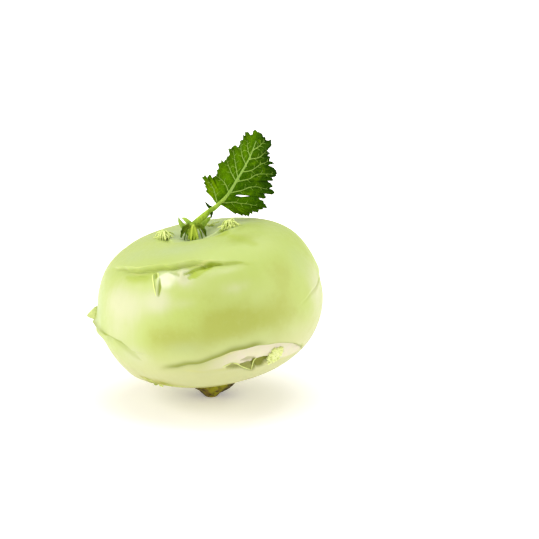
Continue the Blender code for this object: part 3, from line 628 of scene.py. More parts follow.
def bulb_profile(samples=400):
    """Arc, radius, height and the outward normal's two parts, from crown to root."""
    share = 1.0 - (1.0 - np.linspace(0.0, 1.0, samples)) ** 2
    upper = CROWN_HEIGHT * np.sqrt(np.clip(1.0 - share**CROWN_FULLNESS, 0.0, 1.0))
    lower = -BASE_HEIGHT * np.sqrt(np.clip(1.0 - share**BASE_FULLNESS, 0.0, 1.0))
    radius = np.concatenate([RADIUS * share, RADIUS * share[-2::-1]])
    height = np.concatenate([upper, lower[-2::-1]])
    arc = path_length(np.stack([radius, height], axis=1))
    along_radius = np.gradient(radius, arc)
    along_height = np.gradient(height, arc)
    return arc, radius, height, -along_height, along_radius


ARC, PLAIN_RADIUS, PLAIN_HEIGHT, NORMAL_OUT, NORMAL_UP = bulb_profile()
FULL_ARC = float(ARC[-1])


def scar_azimuth(index):
    turned = FIRST_AZIMUTH + index * GOLDEN_ANGLE + SCARS[index].nudge
    return turned_from(turned, 0.0)


def line_bend(index, azimuth, turn):
    """Millimetres by which a scar's line strays from its plain arch."""
    bend = 0.3 * np.sin(turn * 0.21 + index) + 0.15 * np.sin(turn * 0.53 + 2.0 * index)
    for at_index, at_azimuth, drop, width in LINE_BENDS:
        if at_index == index:
            bend = bend + drop * np.exp(-(((azimuth - at_azimuth) / width) ** 2))
    return bend


def scar_offsets(index, azimuth, arc):
    """How far each point lies below a scar's ridge, and how strong the ridge is there."""
    scar = SCARS[index]
    turn = turned_from(azimuth, scar_azimuth(index))
    share = np.where(turn < 0.0, -turn / scar.left, turn / scar.right)
    fall = np.where(turn < 0.0, scar.left_fall, scar.right_fall)
    line = scar.arc + scar.tilt * turn + fall * share**2
    line = (line + line_bend(index, azimuth, turn)) * MM
    strength = np.clip(1.0 - share**2, 0.0, 1.0) ** 1.3
    return arc - line, strength


def scar_relief(index, azimuth, arc):
    scar = SCARS[index]
    below, strength = scar_offsets(index, azimuth, arc)
    face = scar.face * MM * strength
    lip = scar.lip * MM * np.exp(-np.abs(below) / LIP_WIDTH)
    depth = np.clip(below - face, 0.0, None)
    groove = scar.groove * MM * np.exp(-((depth / GROOVE_WIDTH) ** 1.5))
    under = smoothstep(-STEP_WIDTH, STEP_WIDTH, below)
    edge = np.exp(-(((below - face - RIM_WIDTH) / RIM_WIDTH) ** 2))
    rim = RIM_RISE * edge * (scar.face > 0.0)
    return strength * (lip * (1.0 - under) - groove * under + rim)


def shoulder(index, azimuth, arc):
    """The soft round rise of the skin below one of the crown's scars."""
    turn = np.radians(turned_from(azimuth, scar_azimuth(index)))
    at_arc = SCARS[index].arc * MM + SHOULDER_DROP
    girth = np.interp(at_arc, ARC, PLAIN_RADIUS)
    away = np.hypot(turn * np.maximum(girth, arc * 0.8), arc - at_arc)
    return SHOULDER_RISE * np.exp(-((away / SHOULDER_WIDTH) ** 2))


def dent_share(azimuth, arc, dent):
    """How much of a dent or swelling acts at each point."""
    turn = np.radians(turned_from(azimuth, dent.azimuth))
    girth = np.interp(dent.arc * MM, ARC, PLAIN_RADIUS)
    wide = turn * girth / (dent.wide * MM)
    tall = (arc - dent.arc * MM) / (dent.tall * MM)
    return np.exp(-(wide**2) - tall**2)


def stroke_share(azimuth, arc, stroke):
    """How much of a stroke's mark lies at each point: 1 on its line, 0 well outside it."""
    total = np.zeros(np.broadcast(azimuth, arc).shape)
    for (turn, height, wide), (next_turn, next_height, next_wide) in pairwise(stroke.line):
        girth = np.interp(0.5 * (height + next_height) * MM, ARC, PLAIN_RADIUS) / MM
        across = np.radians(turned_from(azimuth, turn)) * girth
        down = arc / MM - height
        run_across = math.radians(next_turn - turn) * girth
        run_down = next_height - height
        length = run_across**2 + run_down**2
        share = np.clip((across * run_across + down * run_down) / length, 0.0, 1.0)
        away = np.hypot(across - share * run_across, down - share * run_down)
        half = wide + (next_wide - wide) * share
        edge = STROKE_EDGE if stroke.rise else np.maximum(STROKE_EDGE, STAIN_EDGE * half)
        mark = 1.0 - smoothstep(half - edge, half + edge, away)
        total = np.maximum(total, mark * np.minimum(1.0, half / STROKE_EDGE))
    return total


def relief(azimuth, arc):
    """How far the skin stands off the plain bulb."""
    total = sum(scar_relief(index, azimuth, arc) for index in range(len(SCARS)))
    fade = smoothstep(0.0, CROWN_CALM, arc)
    total = total * fade - HOLLOW_DEPTH * np.exp(-((arc / HOLLOW_WIDTH) ** 2))
    for index in CROWN_SCARS:
        total = total + shoulder(index, azimuth, arc)
    for dent in (*PITS, *SWELLINGS):
        total = total + dent.rise * MM * dent_share(azimuth, arc, dent)
    for stroke in STROKES:
        if stroke.rise:
            total = total + stroke.rise * MM * stroke_share(azimuth, arc, stroke)
    swell = np.sin(np.radians(2.0 * azimuth + SWELL_AZIMUTH)) * np.sin(np.pi * arc / FULL_ARC)
    return total + SWELL_RISE * swell


def leaned(radius, azimuth, height):
    """World coordinates of points given round the bulb's own axis."""
    turn = np.radians(azimuth)
    x = radius * np.sin(turn)
    y = -radius * np.cos(turn)
    world_x = math.cos(LEAN) * x - math.sin(LEAN) * height + BULB_CENTRE.x
    world_z = math.sin(LEAN) * x + math.cos(LEAN) * height + BULB_CENTRE.z
    return np.stack([world_x, y + BULB_CENTRE.y, world_z], axis=-1)


def skin(azimuth, arc, raised=0.0):
    """World coordinates of the skin, raised by a height over it."""
    azimuth = np.asarray(azimuth, dtype=float)
    arc = np.asarray(arc, dtype=float)
    off = relief(azimuth, arc) + raised
    radius = np.interp(arc, ARC, PLAIN_RADIUS) + off * np.interp(arc, ARC, NORMAL_OUT)
    height = np.interp(arc, ARC, PLAIN_HEIGHT) + off * np.interp(arc, ARC, NORMAL_UP)
    return leaned(np.maximum(radius, 0.0), azimuth, height)


def skin_frame(azimuth, arc):
    """A point of the skin with its outward, rightward and crownward directions."""
    at = Vector(skin(azimuth, arc))
    out = (Vector(skin(azimuth, arc, MM)) - at).normalized()
    right = Vector(leaned(1.0, azimuth + 90.0, 0.0)) - Vector(leaned(0.0, 0.0, 0.0))
    right = (right - out * right.dot(out)).normalized()
    return at, out, right, out.cross(right) * -1.0


# The skin's mesh and tints


def crowded_azimuths():
    """Azimuths of the mesh's columns, which lie closer together over the front."""
    fine = np.linspace(-180.0, 180.0, 3601)
    density = 1.0 + FRONT_CROWDING * np.exp(-((fine / FRONT_REACH) ** 4))
    return spaced_by(density, fine, np.arange(SKIN_COLUMNS) / SKIN_COLUMNS)


def crowded_arcs(azimuths):
    """Arcs of the mesh's rows in each column, which lie closer together at the ridges."""
    fine = np.linspace(0.0, FULL_ARC, 2200)
    shares = np.linspace(0.0, 1.0, SKIN_ROWS + 2)[1:-1]
    arcs = np.empty((SKIN_ROWS, len(azimuths)))
    for column, azimuth in enumerate(azimuths):
        density = np.ones_like(fine)
        for index in range(len(SCARS)):
            below, strength = scar_offsets(index, azimuth, fine)
            density += RIDGE_CROWDING * strength * np.exp(-((below / RIDGE_REACH) ** 2))
        arcs[:, column] = spaced_by(density, fine, shares)
    return arcs


def fine_noise(points, size, octaves=3):
    """Smooth noise between -1 and 1, with features of about that size."""
    return np.array(
        [noise.fractal(Vector(point) / size, 0.9, 2.1, octaves) for point in points]
    )


def face_tint(azimuth, arc, rough):
    """The wide face, where the skin is gone and pale flesh shows."""
    below, strength = scar_offsets(KNOB_SCAR, azimuth, arc)
    face = SCARS[KNOB_SCAR].face * MM * strength
    edge = (0.5 + 0.5 * rough) * MM
    inside = smoothstep(-0.1 * MM, 0.5 * MM, below)
    inside = inside * (1.0 - smoothstep(-0.6 * MM, 0.6 * MM, below - face + edge))
    fade_in, fade_out = FACE_FADES
    side = smoothstep(*fade_in, azimuth) * (1.0 - smoothstep(*fade_out, azimuth))
    return np.clip(inside * side, 0.0, 1.0)


def torn_tint(azimuth, arc, rough):
    """The torn patch: a faint wedge under its ridge, and the white flesh at its core."""
    below, _ = scar_offsets(TORN_SCAR, azimuth, arc)
    half = np.clip(TORN_HALF - TORN_NARROWING * below / MM, 0.0, 12.0)
    away = azimuth - TORN_AZIMUTH + TORN_SLANT * below / MM
    soft = np.where(away > 0.0, 6.0, 1.5)
    patch = 1.0 - smoothstep(half - soft, half + 0.6 + rough, np.abs(away))
    patch = patch * smoothstep(0.3 * MM, 1.2 * MM, below) * smoothstep(0.0, 2.0, half)
    core = dent_share(azimuth, arc, TORN_CORE) * (1.0 + 0.25 * rough)
    return np.clip(np.maximum(0.5 * patch, smoothstep(0.15, 0.75, core)), 0.0, 1.0)


def groove_green_and_shade_tint(azimuth, arc):
    """The deeper yellow green just under each ridge, partly painted shade."""
    total = np.zeros_like(arc)
    for index in range(len(SCARS)):
        below, strength = scar_offsets(index, azimuth, arc)
        under = smoothstep(-0.2 * MM, 0.3 * MM, below) * np.exp(-below / GROOVE_TINT_REACH)
        total = np.maximum(total, np.clip(strength * 1.6, 0.0, 1.0) * under)
    return total


def crown_tint(azimuth, arc, rough):
    """The grey bloom of wax in the crown's hollow and on the shoulders, partly a painted
    reflection.
    """
    turn = np.radians(turned_from(azimuth, WAX_AZIMUTH))
    least, on_side, uneven = WAX_REACH
    reach = (least + on_side * np.cos(turn) + uneven * rough) * MM
    wax = 1.0 - smoothstep(0.6 * reach, 1.3 * reach, arc)
    return np.clip(wax + patch_tint(azimuth, arc, WAX_AND_REFLECTION_PATCHES), 0.0, 1.0)


def patch_tint(azimuth, arc, patches):
    """Soft patches of one colour, each with its own strength."""
    total = sum(p.rise * dent_share(azimuth, arc, p) for p in patches)
    return np.clip(total, 0.0, 1.0)


def stroke_tint(azimuth, arc, tint):
    """The marks of all the strokes that have one tint."""
    total = np.zeros_like(arc)
    for stroke in STROKES:
        if stroke.tint == tint:
            total = np.maximum(total, stroke.amount * stroke_share(azimuth, arc, stroke))
    return total


def crease_shade_tint(azimuth, arc):
    """Painted shade along the folds, where the skin rolls under."""
    total = np.zeros_like(arc)
    for index, offset, width, start, end, amount in SHADED_CREASES:
        below, _ = scar_offsets(index, azimuth, arc)
        line = np.exp(-(((below / MM - offset) / width) ** 2))
        fade = smoothstep(start, start + CREASE_FADES[0], azimuth)
        fade = fade * (1.0 - smoothstep(end - CREASE_FADES[1], end, azimuth))
        total = np.maximum(total, amount * line * fade)
    return total


def rim_tint(azimuth, arc):
    """The thin yellow edge of torn skin along the face's lower side, with the rim strokes: more
    such edges and painted highlights along the ridges' lips.
    """
    below, strength = scar_offsets(KNOB_SCAR, azimuth, arc)
    edge = below - SCARS[KNOB_SCAR].face * MM * strength
    worn = 0.35 + 0.25 * np.sin(np.radians(azimuth) * 17.0)
    line = np.exp(-((edge / RIM_LINE) ** 2)) * smoothstep(0.1, 0.4, strength) * worn
    return np.maximum(line, stroke_tint(azimuth, arc, "rim"))


def skin_tints(azimuth, arc, rough):
    """Every tint of the skin, by its name."""
    patches = {"pale": PALE_AND_HIGHLIGHT_PATCHES, "olive": OLIVE_AND_SHADE_PATCHES, "shade": SHADE_PATCHES}
    tints = {name: patch_tint(azimuth, arc, dents) for name, dents in patches.items()}
    for name in ("shade", "pit_shade", "deep_green_and_shade", "hollow_shadow", "straw_and_shade"):
        strokes = stroke_tint(azimuth, arc, name)
        tints[name] = np.maximum(tints[name], strokes) if name in tints else strokes
    return {
        **tints,
        "face": face_tint(azimuth, arc, rough),
        "patch": torn_tint(azimuth, arc, rough),
        "groove": groove_green_and_shade_tint(azimuth, arc),
        "crown": crown_tint(azimuth, arc, rough),
        "height": arc / FULL_ARC,
        "crease_shade": crease_shade_tint(azimuth, arc),
        "rim": rim_tint(azimuth, arc),
    }


def stem_skin():
    """The bulb's skin: rows of points round it, closed by a point at the crown and at the root."""
    azimuths = crowded_azimuths()
    arcs = crowded_arcs(azimuths)
    turns = np.broadcast_to(azimuths, arcs.shape)
    plain = skin(turns, arcs).reshape(-1, 3)
    rough = fine_noise(plain, 6.0 * MM).reshape(arcs.shape)
    grain = fine_noise(plain, 1.7 * MM, 2).reshape(arcs.shape)
    tints = skin_tints(turns, arcs, rough)
    raised = (0.07 * rough + 0.02 * grain) * MM
    raised = raised + (tints["face"] * 0.10 + tints["patch"] * 0.16) * grain * MM
    points = skin(turns, arcs, raised).reshape(-1, 3)
    poles = [skin(0.0, 0.0), skin(0.0, FULL_ARC)]
    rows, columns = arcs.shape
    faces = grid_faces(rows, columns)
    last = (rows - 1) * columns
    for column in range(columns):
        after = (column + 1) % columns
        faces.append((rows * columns, after, column))
        faces.append((rows * columns + 1, last + column, last + after))
    shape = Shape(*tints)
    at_vertices = {name: [*tint.ravel(), *tint[[0, -1], 0]] for name, tint in tints.items()}
    shape.add([*points, *poles], faces, **at_vertices)
    return shape.piece("stem_skin", skin_material(), "waxy_skin", "swollen_stem")


# Torn petiole ends


def frayed_finger(shape, draw, at, direction, droop, length, radius):
    """One finger of a torn petiole: a flat tapering strip that splits into fibres at its tip."""
    start = at - direction * STUB_ROOT
    middle = at + direction * (length * 0.5) + droop * (length * 0.12)
    tip = at + direction * (length * 0.7) + droop * (length * 0.65)
    shares = [step / 10.0 for step in range(11)]
    swell = [1.0 + 0.18 * math.sin(9.0 * share + draw.uniform(0.0, 6.0)) for share in shares]
    radii = [radius * (1.0 - 0.66 * share**1.6) * bump for share, bump in zip(shares, swell)]
    pale = draw.uniform(-0.15, 0.3)
    tints = np.clip(1.3 * np.array(shares) - 0.1 + pale, 0.0, 1.0)
    centres = curve_through([start, at, middle, tip], len(shares))
    shape.tube(centres, radii, 9, 0.45, tip=tints, dry=draw.uniform(0.0, 1.0))
    run = (tip - middle).normalized()
    thin = [radius * share for share in SPLIT_RADII]
    for count in range(SPLITS):
        off = Vector([draw.uniform(-1.0, 1.0) for _ in range(3)]) * 0.6
        split = middle.lerp(tip, 0.25 * count)
        end = tip + (run + off).normalized() * draw.uniform(0.3, 1.0) * MM
        path = curve_through([middle, split.lerp(end, 0.5), end], len(thin))
        shape.tube(path, thin, 5, tip=SPLIT_TIPS, dry=0.2)


def fountain(shape, fray, at, out, right, up):
    """Pale petal-like fibres that rise from a torn petiole of the crown and droop to the skin."""
    axis = (out + UP).normalized()
    shares = np.linspace(0.0, 1.0, 16)
    for step in range(FOUNTAIN_FIBRES):
        turn = math.tau * (step + fray.uniform(-0.3, 0.3)) / FOUNTAIN_FIBRES
        side = splayed(right, up, turn)
        height = FOUNTAIN_HEIGHT * fray.uniform(0.5, 1.1)
        reach = FOUNTAIN_REACH * fray.uniform(0.6, 1.35)
        arch = [at + axis * (a * height) + side * (b * reach) for a, b in FOUNTAIN_ARCH]
        path = curve_through([at + side * FOUNTAIN_FOOT, *arch], len(shares))
        pale = fray.uniform(-0.5, 0.25)
        tints = np.clip(0.6 + 0.45 * shares + pale, 0.0, 1.0)
        radii = np.interp(shares, *FOUNTAIN_RADII) * MM * fray.uniform(0.8, 1.25)
        shape.tube(path, radii, 8, 0.6, tip=tints, white=max(0.0, pale))


def crumbs(shape, fray, at, out, right, up):
    """Crumbs of torn tissue round the foot of a crown tuft."""
    for step in range(CROWN_CRUMBS):
        spread = splayed(right, up, math.tau * (step + fray.uniform(-0.4, 0.4)) / CROWN_CRUMBS)
        place = at + spread * (fray.uniform(0.9, 2.2) * MM) + out * fray.uniform(0.2, 1.5) * MM
        lump(shape, place, (out + spread).normalized(), fray.uniform(0.35, 0.7) * MM, 0.9, 0.3)


def tuft(shape, index, draw, fray):
    """The petiole end on one scar: a short stub, and fingers that splay out round it."""
    scar = SCARS[index]
    at, out, right, up = skin_frame(scar_azimuth(index), (scar.arc + scar.perch) * MM)
    stub = scar.stub * MM
    top, wide, tips, white, grown = at + out * (1.25 * stub), STUB_WIDE, STUB_TIPS, 0.0, 1.0
    if index == LEFT_STUB:
        top = at + out * (1.7 * stub) + up * (0.5 * MM)
        wide, tips, white, grown = WORN_WIDE, WORN_TIPS, 0.2, WORN_TUFT_SCALE
    if index in CROWN_SCARS:
        tips, grown = CROWN_TIPS, CROWN_TUFT_SCALE
    rings = curve_through([at - out * STUB_ROOT, at, top], len(wide))
    shape.tube(rings, [stub * share for share in wide], 18, 0.8, tip=tips, white=white)
    if index in CROWN_SCARS:
        fountain(shape, fray, at, out, right, up)
        crumbs(shape, fray, at, out, right, up)
    for step in range(scar.fingers):
        turn = math.tau * (step + draw.uniform(-0.25, 0.25)) / scar.fingers
        spread = splayed(right, up, turn)
        foot = at + spread * (stub * 0.75)
        direction = (out + spread * draw.uniform(0.35, 0.8)).normalized()
        droop = spread * draw.uniform(0.5, 1.0) - out * draw.uniform(0.2, 0.5)
        length = draw.uniform(2.4, 3.6) * MM * grown
        radius = stub * draw.uniform(0.36, 0.5) * grown
        frayed_finger(shape, fray, foot, direction, droop, length, radius)


def strand(shape, path, radius, tip, dry=0.1, flatness=0.7):
    """A fibre along the skin, through points of azimuth, arc and height over it (mm)."""
    points = [Vector(skin(a, arc * MM, raised * MM)) for a, arc, raised in path]
    count = 6 * len(points)
    ends = np.interp(np.linspace(0.0, 1.0, count), (0.0, 0.2, 0.8, 1.0), (0.5, 1.0, 0.9, 0.2))
    shape.tube(curve_through(points, count), ends * radius * MM, 9, flatness, tip=tip, dry=dry)


def lump(shape, centre, out, radius, tip, white):
    """A small rounded crumb of torn tissue."""
    heights = np.linspace(-1.0, 1.0, 7)
    rings = [centre + out * (radius * height) for height in heights]
    uneven = 1.0 + 0.3 * noise.noise(centre / (0.6 * MM))
    wide = [
        radius * math.sqrt(max(0.0, 1.02 - height * height)) * uneven ** (1.0 - 4.0 * height)
        for height in heights
    ]
    shape.tube(rings, wide, 8, tip=tip, dry=0.15, white=white)


def rosette(shape):
    """The pale crumbly knob on the wide face: rings of crumbs round a green eye."""
    draw = random.Random(41)
    at, out, right, up = skin_frame(KNOB_AZIMUTH, KNOB_ARC)
    for step in range(KNOB_BASE_CRUMBS):
        away = splayed(right, up * KNOB_TALL, math.tau * step / KNOB_BASE_CRUMBS)
        lump(shape, at + away * KNOB_BASE, out, KNOB_BASE, 0.95, 0.5)
    for ring, (count, reach, size, tip) in enumerate(KNOB_RINGS):
        for step in range(count):
            turn = math.tau * (step + 0.5 * ring + draw.uniform(-0.2, 0.2)) / count
            away = splayed(right * KNOB_WIDE, up * KNOB_TALL, turn)
            place = at + away * (reach * draw.uniform(0.85, 1.1) * MM)
            lifted = out * (draw.uniform(-0.1, 0.25) * MM)
            radius = size * draw.uniform(0.8, 1.15) * MM
            white = 0.0 if tip < 0.5 else draw.uniform(0.1, 0.5)
            lump(shape, place + lifted, out, radius, tip, white)


def torn_ends():
    draw, fray = random.Random(11), random.Random(23)
    shape = Shape("tip", "dry", "white")
    for path, radius, tip in TORN_STRANDS:
        strand(shape, path, radius, tip)
    for index in range(len(SCARS)):
        if SCARS[index].fingers and index != KNOB_SCAR:
            tuft(shape, index, draw, fray)
    rosette(shape)
    return shape.piece("torn_ends", fibre_material(), "waxy_skin")


# The trimmed root


def root_stub():
    """The root: rings that swell towards the bulb, roughened into bark, and a flat cut below."""
    levels = np.array(ROOT_RINGS) * MM
    heights = np.linspace(0.0, 1.0, ROOT_ROWS) * levels[-1, 0]
    turns = np.linspace(0.0, math.tau, ROOT_COLUMNS, endpoint=False)
    shape = Shape("bark", "edge", "neck")
    lumps, streaks = BARK_RISE
    vertices, bark = [], []
    for height in heights:
        offset, half_x, half_y = (np.interp(height, levels[:, 0], levels[:, c]) for c in (1, 2, 3))
        for turn in turns:
            across = Vector((math.cos(turn), math.sin(turn), 0.0))
            place = Vector((offset + half_x * across.x, half_y * across.y, height))
            coarse = noise.fractal(place / BARK_GRAIN, 0.9, 2.0, 3)
            streak = noise.noise(Vector((turn * 5.0, height / (3.0 * MM), 4.0)))
            rise = (lumps * coarse + streaks * streak) * MM * min(1.0, height / (0.8 * MM))
            vertices.append(place + across * rise)
            bark.append(0.5 + 0.5 * coarse)
    # Darker towards the left and right sides, as the root is seen from the front.
    edge = [abs(math.cos(turn)) for _ in heights for turn in turns]
    neck = [float(smoothstep(*NECK_HEIGHTS, height)) for height in heights for _ in turns]
    shape.add(vertices, closed_faces(ROOT_ROWS, ROOT_COLUMNS), bark=bark, edge=edge, neck=neck)
    return shape.piece("root_bark", root_material(), "root_bark", "root_stub")


# The leaf


def leaf_place(across, up, forward=0.0):
    """World coordinates of a point of the leaf's plane, moved towards the viewer by forward."""
    start = BULB_CENTRE + Vector((across, -LEAF_SETBACK, LEAF_RISE))
    return start + LEAF_RISING * up + LEAF_FACING * forward


def leaf_path(points, count):
    return curve_through([leaf_place(across * MM, up * MM) for across, up in points], count)


def looked_up(shares, at, points):
    """Points of the leaf's plane at shares, from the ones that are known."""
    return np.stack([np.interp(shares, at, points[:, c]) for c in (0, 1)], axis=1)


def midrib_at(shares):
    """Points of the midrib at shares of its length."""
    points = np.array(MIDRIB)
    length = path_length(points)
    return looked_up(shares, length / length[-1], points)


def margin_at(points, shares):
    """Points of one margin, where the ribs that start at these shares of the midrib end."""
    points = np.array((*points, (*MIDRIB[-1], 1.0)))
    return looked_up(shares, points[:, 2], points)


def row_shares():
    """Starts of the ribs along the midrib, spaced so that the longer margin moves on evenly."""
    fine = np.linspace(LEFT_MARGIN[0][2], 1.0, 6000)
    sides = [np.diff(path_length(margin_at(side, fine))) for side in (LEFT_MARGIN, RIGHT_MARGIN)]
    length = running_total(np.maximum(*sides))
    return np.interp(np.linspace(0.0, length[-1], BLADE_ROWS), length, fine)


def ribs(points, shares, seed):
    """Vectors from the midrib to one margin, with teeth and finer points between them."""
    ends = margin_at(points, shares)
    rib = ends - midrib_at(shares)
    reach = np.hypot(rib[:, 0], rib[:, 1])
    phase = path_length(ends) / TOOTH_LENGTH
    shifted = phase + 0.22 * np.sin(phase * 1.7 + 5.0 * seed)
    saw = 1.0 - np.abs(2.0 * (shifted % 1.0) - 1.0) ** 0.75 - 0.5
    fine = np.abs((phase * 2.7 + seed) % 1.0 - 0.5) * 2.0 - 0.5
    uneven = 1.0 + 0.6 * np.sin(phase * 2.3 + seed) * np.sin(phase * 0.9 + 2.0 * seed)
    ease = np.sin(np.linspace(0.0, math.pi, len(shares))) ** 0.4
    teeth = (saw * uneven + 0.5 * fine) * ease * TOOTH_HEIGHT
    return rib * (1.0 + teeth / np.maximum(reach, 2.0))[:, None]


def vein_distance(place):
    """Millimetres in the leaf's plane from the nearest vein or the midrib."""
    nearest = 99.0
    for line in (*VEINS, MIDRIB):
        for start, end in pairwise(line):
            start, end = Vector(start), Vector(end)
            along = end - start
            share = (place - start).dot(along) / along.length_squared
            foot = start + along * min(1.0, max(0.0, share))
            nearest = min(nearest, (place - foot).length)
    return nearest


def blade_forward(place, gap, distance, share, row_share, side):
    """The blade's relief: folded from the midrib, puffed between veins, waved at the rim."""
    wave = WAVE * share**2 * math.sin(math.tau * (WAVES * row_share + 0.23 * side))
    frill = FRILL * share**3 * math.sin(math.tau * (FRILLS * row_share + 0.4 * side))
    curl = -CURLS[side > 0] * row_share**2 * share**2
    puff = PUCKER_RISE * (1.0 - math.exp(-gap * gap)) * (1.0 - 0.6 * share**4)
    spot = Vector((place.x, place.y, 3.0)) / CRINKLE_SIZE
    crinkle = CRINKLE * noise.fractal(spot, 0.9, 2.1, 3) * min(1.0, gap)
    return -BLADE_FOLD * distance + wave + frill + curl + puff + crinkle


def rib_point(start, rib, share, row_share, side):
    """A point of the blade, at a share of the way along one rib, and how near a vein it is."""
    place = Vector(start + rib * share)
    distance = math.hypot(*rib) * share * MM
    gap = vein_distance(place)
    forward = blade_forward(place, gap / PUCKER_WIDTH, distance, share, row_share, side)
    return leaf_place(place.x * MM, place.y * MM, forward), math.exp(-((gap / VEIN_SHADOW) ** 2))


def blade_sheet():
    """Points from the left margin over the midrib to the right one, row by row, and their tints."""
    shares = row_shares()
    starts = midrib_at(shares)
    rises = np.interp(shares, *RISE_AT_SHARE)
    sides = ((-1, ribs(LEFT_MARGIN, shares, 0.3)), (1, ribs(RIGHT_MARGIN, shares, 0.8)))
    steps = [step / BLADE_RIBS for step in range(1, BLADE_RIBS + 1)]
    signed = [-share for share in steps[::-1]] + [0.0] + steps
    points, tints = [], {"rim": [], "half": [], "rise": [], "near": []}
    for row in range(BLADE_ROWS - 1):
        left, right = (
            [rib_point(starts[row], rib[row], share, rises[row], side) for share in steps]
            for side, rib in sides
        )
        across = left[::-1] + [(leaf_place(*(starts[row] * MM)), 1.0)] + right
        points += [point for point, _ in across]
        tints["near"] += [near for _, near in across]
        tints["rim"] += [abs(share) for share in signed]
        tints["half"] += [0.5 + 0.5 * share for share in signed]
        tints["rise"] += [rises[row]] * len(across)
    return points, tints


def blade_faces(rows, width):
    """Triangles of the front, the same ones on the rear, and the rim that joins them."""
    count = rows * width
    front = []
    for row in range(rows - 1):
        for column in range(width - 1):
            a = row * width + column
            b, c, d = a + 1, a + width + 1, a + width
            left_half = column < width // 2
            front += [(a, b, c), (a, c, d)] if left_half else [(a, b, d), (b, c, d)]
    tip, last = 2 * count, count - width
    front += [(last + c, last + c + 1, tip) for c in range(width - 1)]

    def behind(vertex):
        return vertex + (1 if vertex == tip else count)

    rear = [tuple(behind(vertex) for vertex in reversed(face)) for face in front]
    rim = [row * width for row in range(rows)] + [tip]
    rim += [row * width + width - 1 for row in reversed(range(rows))]
    rim += list(reversed(range(1, width - 1)))
    edge = []
    for at, after in pairwise(rim + rim[:1]):
        edge.append((at, after, behind(after)))
        edge.append((at, behind(after), behind(at)))
    return front + rear + edge


def leaf_blade():
    sheet, tints = blade_sheet()
    half = LEAF_FACING * (BLADE_THICKNESS / 2.0)
    tip = leaf_place(MIDRIB[-1][0] * MM, MIDRIB[-1][1] * MM, -1.0 * MM)
    vertices = [point + half for point in sheet] + [point - half for point in sheet]
    vertices += [tip + half, tip - half]
    at_tip = {"rim": 1.0, "half": 0.5, "rise": 1.0, "near": 1.0}
    shape = Shape(*tints)
    tints = {name: values + values + [at_tip[name]] * 2 for name, values in tints.items()}
    shape.add(vertices, blade_faces(BLADE_ROWS - 1, 2 * BLADE_RIBS + 1), **tints)
    for path in EARS:
        radii = [radius * MM for radius in EAR_RADII]
        shape.tube(leaf_path(path, len(radii)), radii, 10, 0.5, rim=0.95, half=0.8, rise=0.5)
    return shape.piece("leaf_blade", blade_material(), "leaf_green", "leaf")


def on_blade(blade):
    """A function that lifts a path in the leaf's plane onto the blade, as far as it reaches."""
    tree = BVHTree.FromObject(blade, bpy.context.evaluated_depsgraph_get())

    def lifted(across, up, sunk):
        start = leaf_place(across * MM, up * MM, 20.0 * MM)
        hit = tree.ray_cast(start, -LEAF_FACING)[0]
        return hit and hit - LEAF_FACING * sunk

    def lying(path, sunk):
        points = [lifted(point.x, point.y, sunk) for point in path]
        return points[: points.index(None)] if None in points else points

    return lying


def leaf_stalk(blade):
    """The petiole, the midrib and the side veins with their small branches."""
    lifted = on_blade(blade)
    shape = Shape("vein")
    shares = np.linspace(0.0, 1.0, 60)
    radii = np.interp(shares, *STALK_TAPER) * MM
    pale = np.clip((shares - 0.22) * 3.0, 0.0, 1.0)
    shape.tube(leaf_path(STALK + MIDRIB[:-1], len(shares)), radii, 22, 0.85, vein=pale)
    for line in VEINS:
        path = curve_through([Vector((*point, 0.0)) for point in line], VEIN_POINTS)
        vein = lifted(path, VEIN_SUNK)
        shape.tube(vein, np.linspace(*VEIN_RADII, len(vein)) * MM, 8, 0.8, vein=0.85)
        vein_branches(shape, path, lifted)
    for path in SHEATHS:
        radii = np.interp(np.arange(14), *SHEATH_TAPER) * MM
        shape.tube(leaf_path(path, len(radii)), radii, 12, 0.5, vein=0.3)
    return shape.piece("leaf_stalk", stalk_material(), "leaf_green")


def vein_branches(shape, path, lifted):
    """Small branches that leave a side vein in turn above and below it."""
    for count, at in enumerate(BRANCH_POINTS):
        start, run = path[at], (path[at + 1] - path[at - 1]).normalized()
        side = 1.0 if count % 2 else -1.0
        away = Vector((-run.y, run.x, 0.0)) * side
        reach = 2.9 - 0.12 * at
        middle = start + (run * 0.55 + away * 0.45) * (reach * 0.5)
        end = start + (run * 0.6 + away * 0.8) * reach
        branch = lifted(curve_through([start, middle, end], 7), 0.0)
        if len(branch) > 2:
            shape.tube(branch, np.linspace(*BRANCH_RADII, len(branch)) * MM, 5, vein=0.5)


# The sprout


def sprout_height(ground):
    """The height of the skin over a point of the ground."""
    tree = BVHTree.FromObject(ground, bpy.context.evaluated_depsgraph_get())

    def height(x, y):
        return tree.ray_cast(Vector((x, y, 0.2)), Vector((0.0, 0.0, -1.0)))[0].z

    return height


